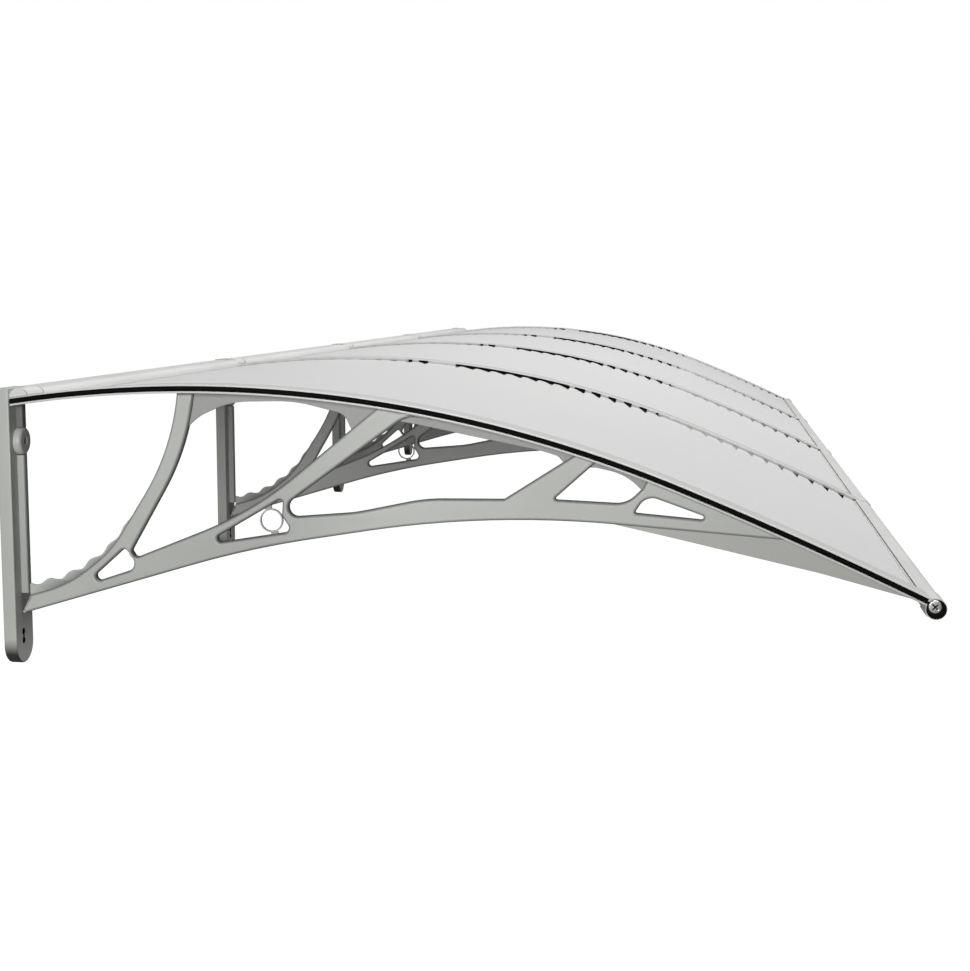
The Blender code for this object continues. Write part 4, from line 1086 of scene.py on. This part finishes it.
class CANOPY_OT_rails(bpy.types.Operator):
    """Draw the wall rails and the half-round caps on the profiles' rear ends"""

    bl_idname = "canopy.rails"
    bl_label = "Wall rails and rail caps"

    def execute(self, context):
        sizes, colours = context.scene.canopy_sizes, context.scene.canopy_colours
        finish = look("satin_rail", extruded_finish, colours.rail, 0)
        half = sizes.profile_width / 2
        # Painted shade: the rims at both ends of each rail cap are dark
        painted_rim_shade = look("cap_rims", extruded_finish, colours.shade, 0, roughness=0.6)
        bars("rail_drawn", self.rail(), [finish], "wall_rail", "profile_paint")
        cap = self.cap()
        shape = carried(across(cap, -half, RAIL_CAP_RIM - half, half - RAIL_CAP_RIM, half))
        which = np.append(np.repeat([1, 0, 1], len(cap)), [0, 0]).astype(np.int32)
        row("rail_end", shape, [finish, painted_rim_shade], "rail_cap", "profile_paint", which=which)
        return {"FINISHED"}

    def rail(self):
        """Section of the rail: flat back, quarter-round nose over the sheet, slot and lower jaw."""
        roof, floor = SHEET_TOP + CLEARANCE, SHEET_FOOT - CLEARANCE
        front = roof_curve(RAIL_FRONT, roof)
        swing = np.linspace(math.pi / 2, 0, 13)
        nose = front + RAIL_NOSE * np.stack([np.cos(swing) - 1, np.sin(swing)], -1)
        back = [(0.0, RAIL_FOOT), (0.0, front[1] + RAIL_NOSE)]
        slot = ((RAIL_REAR, roof), (RAIL_REAR, floor), (RAIL_FRONT, floor), (RAIL_FRONT, floor - RAIL_JAW))
        return np.concatenate([back, nose, [roof_curve(*corner) for corner in slot]])

    def cap(self):
        """Half-round section lying on the profile: half its length times the cosine, its rise times the sine."""
        rear = (PROFILE_TOP + RAIL_CAP_RISE) * math.tan(ROOF_SLOPE)
        swing = np.linspace(0, math.pi, 33)
        middle = (RAIL_CAP_FRONT + rear) / 2
        distance = middle + (RAIL_CAP_FRONT - middle) * np.cos(swing)
        return roof_curve(distance, PROFILE_TOP + CLEARANCE + RAIL_CAP_RISE * np.sin(swing))


class CANOPY_OT_stage(bpy.types.Operator):
    """Set the pale floor, the soft lamps and the camera"""

    bl_idname = "canopy.stage"
    bl_label = "Stage"

    def execute(self, context):
        settings = context.scene.canopy_stage
        scene = context.scene
        camera = bpy.data.objects.new("camera", bpy.data.cameras.new("camera"))
        scene.collection.objects.link(camera)
        camera.location = settings.eye
        camera.rotation_mode = "QUATERNION"
        camera.rotation_quaternion = Vector(settings.aim).to_track_quat("-Z", "Y")
        camera.data.sensor_fit = "HORIZONTAL"
        camera.data.sensor_width = 36.0
        camera.data.lens = settings.lens
        camera.data.clip_end = 200.0
        scene.camera = camera
        scene.view_settings.view_transform = "Standard"
        self.lamp("key_lamp", *KEY_LAMP, settings.key)
        self.lamp("top_lamp", *TOP_LAMP, settings.top)
        self.floor(settings.floor_height)
        self.sky(settings.sky)
        return {"FINISHED"}

    def lamp(self, name, place, target, size, power):
        """Square soft lamp turned toward a point."""
        light = bpy.data.lights.new(name, "AREA")
        light.size = size
        light.energy = power
        lamp = bpy.data.objects.new(name, light)
        bpy.context.scene.collection.objects.link(lamp)
        lamp.location = place
        lamp.rotation_mode = "QUATERNION"
        lamp.rotation_quaternion = (Vector(target) - Vector(place)).to_track_quat("-Z", "Y")

    def floor(self, height):
        """Plain pale ground, a wide square at its height, that stays white behind the object."""
        corners = [(x * GROUND, y * GROUND, height) for x, y in ((-1, -1), (1, -1), (1, 1), (-1, 1))]
        mesh = bpy.data.meshes.new("floor")
        mesh.from_pydata(corners, [], [(0, 1, 2, 3)])
        floor = bpy.data.objects.new("floor", mesh)
        bpy.context.scene.collection.objects.link(floor)
        made, tree, shader = material("floor_plaster", Roughness=0.9)
        shader.inputs["Base Color"].default_value = linear("8C8C8A")
        path = add(tree, "ShaderNodeLightPath")
        rays = {0: path.outputs["Is Camera Ray"], 1: path.outputs["Is Transmission Ray"]}
        glow = add(tree, "ShaderNodeMath", rays, operation="MAXIMUM")
        tree.links.new(glow.outputs[0], shader.inputs["Emission Strength"])
        shader.inputs["Emission Color"].default_value = (1.0, 1.0, 1.0, 1.0)
        mesh.materials.append(made)

    def sky(self, strength):
        """Plain world: white where the camera sees it, a softer grey as light."""
        world = bpy.data.worlds.new("sky")
        world.use_nodes = True
        tree = world.node_tree
        path = add(tree, "ShaderNodeLightPath")
        rays = {"Value": path.outputs["Is Camera Ray"], "To Min": strength, "To Max": 1.0}
        power = add(tree, "ShaderNodeMapRange", rays)
        ground = tree.nodes["Background"]
        ground.inputs["Color"].default_value = (1.0, 1.0, 1.0, 1.0)
        tree.links.new(power.outputs["Result"], ground.inputs["Strength"])
        bpy.context.scene.world = world


class CANOPY_PT_panel(bpy.types.Panel):
    """Sidebar panel that lists the canopy's pieces, sizes and colours"""

    bl_label = "Door canopy"
    bl_idname = "CANOPY_PT_panel"
    bl_space_type = "VIEW_3D"
    bl_region_type = "UI"
    bl_category = "Canopy"

    def draw(self, context):
        for operator in OPERATORS:
            self.layout.operator(operator.bl_idname)
        for name in PROPERTIES:
            group = getattr(context.scene, name)
            for key in group.bl_rna.properties.keys():
                if key not in ("rna_type", "name"):
                    self.layout.prop(group, key)


OPERATORS = (
    CANOPY_OT_stage,
    CANOPY_OT_brackets,
    CANOPY_OT_posts,
    CANOPY_OT_profiles,
    CANOPY_OT_sheets,
    CANOPY_OT_seals,
    CANOPY_OT_front,
    CANOPY_OT_rails,
)
PROPERTIES = {
    "canopy_sizes": CanopySizes,
    "canopy_colours": CanopyColours,
    "canopy_stage": CanopyStage,
}


def register():
    """Make the classes known and hang the property groups on the scene."""
    for group in PROPERTIES.values():
        bpy.utils.register_class(group)
    for operator in OPERATORS:
        bpy.utils.register_class(operator)
    bpy.utils.register_class(CANOPY_PT_panel)
    for name, group in PROPERTIES.items():
        setattr(bpy.types.Scene, name, bpy.props.PointerProperty(type=group))


def unregister():
    """Take the property groups and the classes away again."""
    for name in PROPERTIES:
        delattr(bpy.types.Scene, name)
    bpy.utils.unregister_class(CANOPY_PT_panel)
    for operator in reversed(OPERATORS):
        bpy.utils.unregister_class(operator)
    for group in reversed(list(PROPERTIES.values())):
        bpy.utils.unregister_class(group)


def main():
    """Build everything in order."""
    register()
    bpy.ops.canopy.stage()
    bpy.ops.canopy.brackets()
    bpy.ops.canopy.posts()
    bpy.ops.canopy.profiles()
    bpy.ops.canopy.sheets()
    bpy.ops.canopy.seals()
    bpy.ops.canopy.front()
    bpy.ops.canopy.rails()


if __name__ == "__main__":
    main()
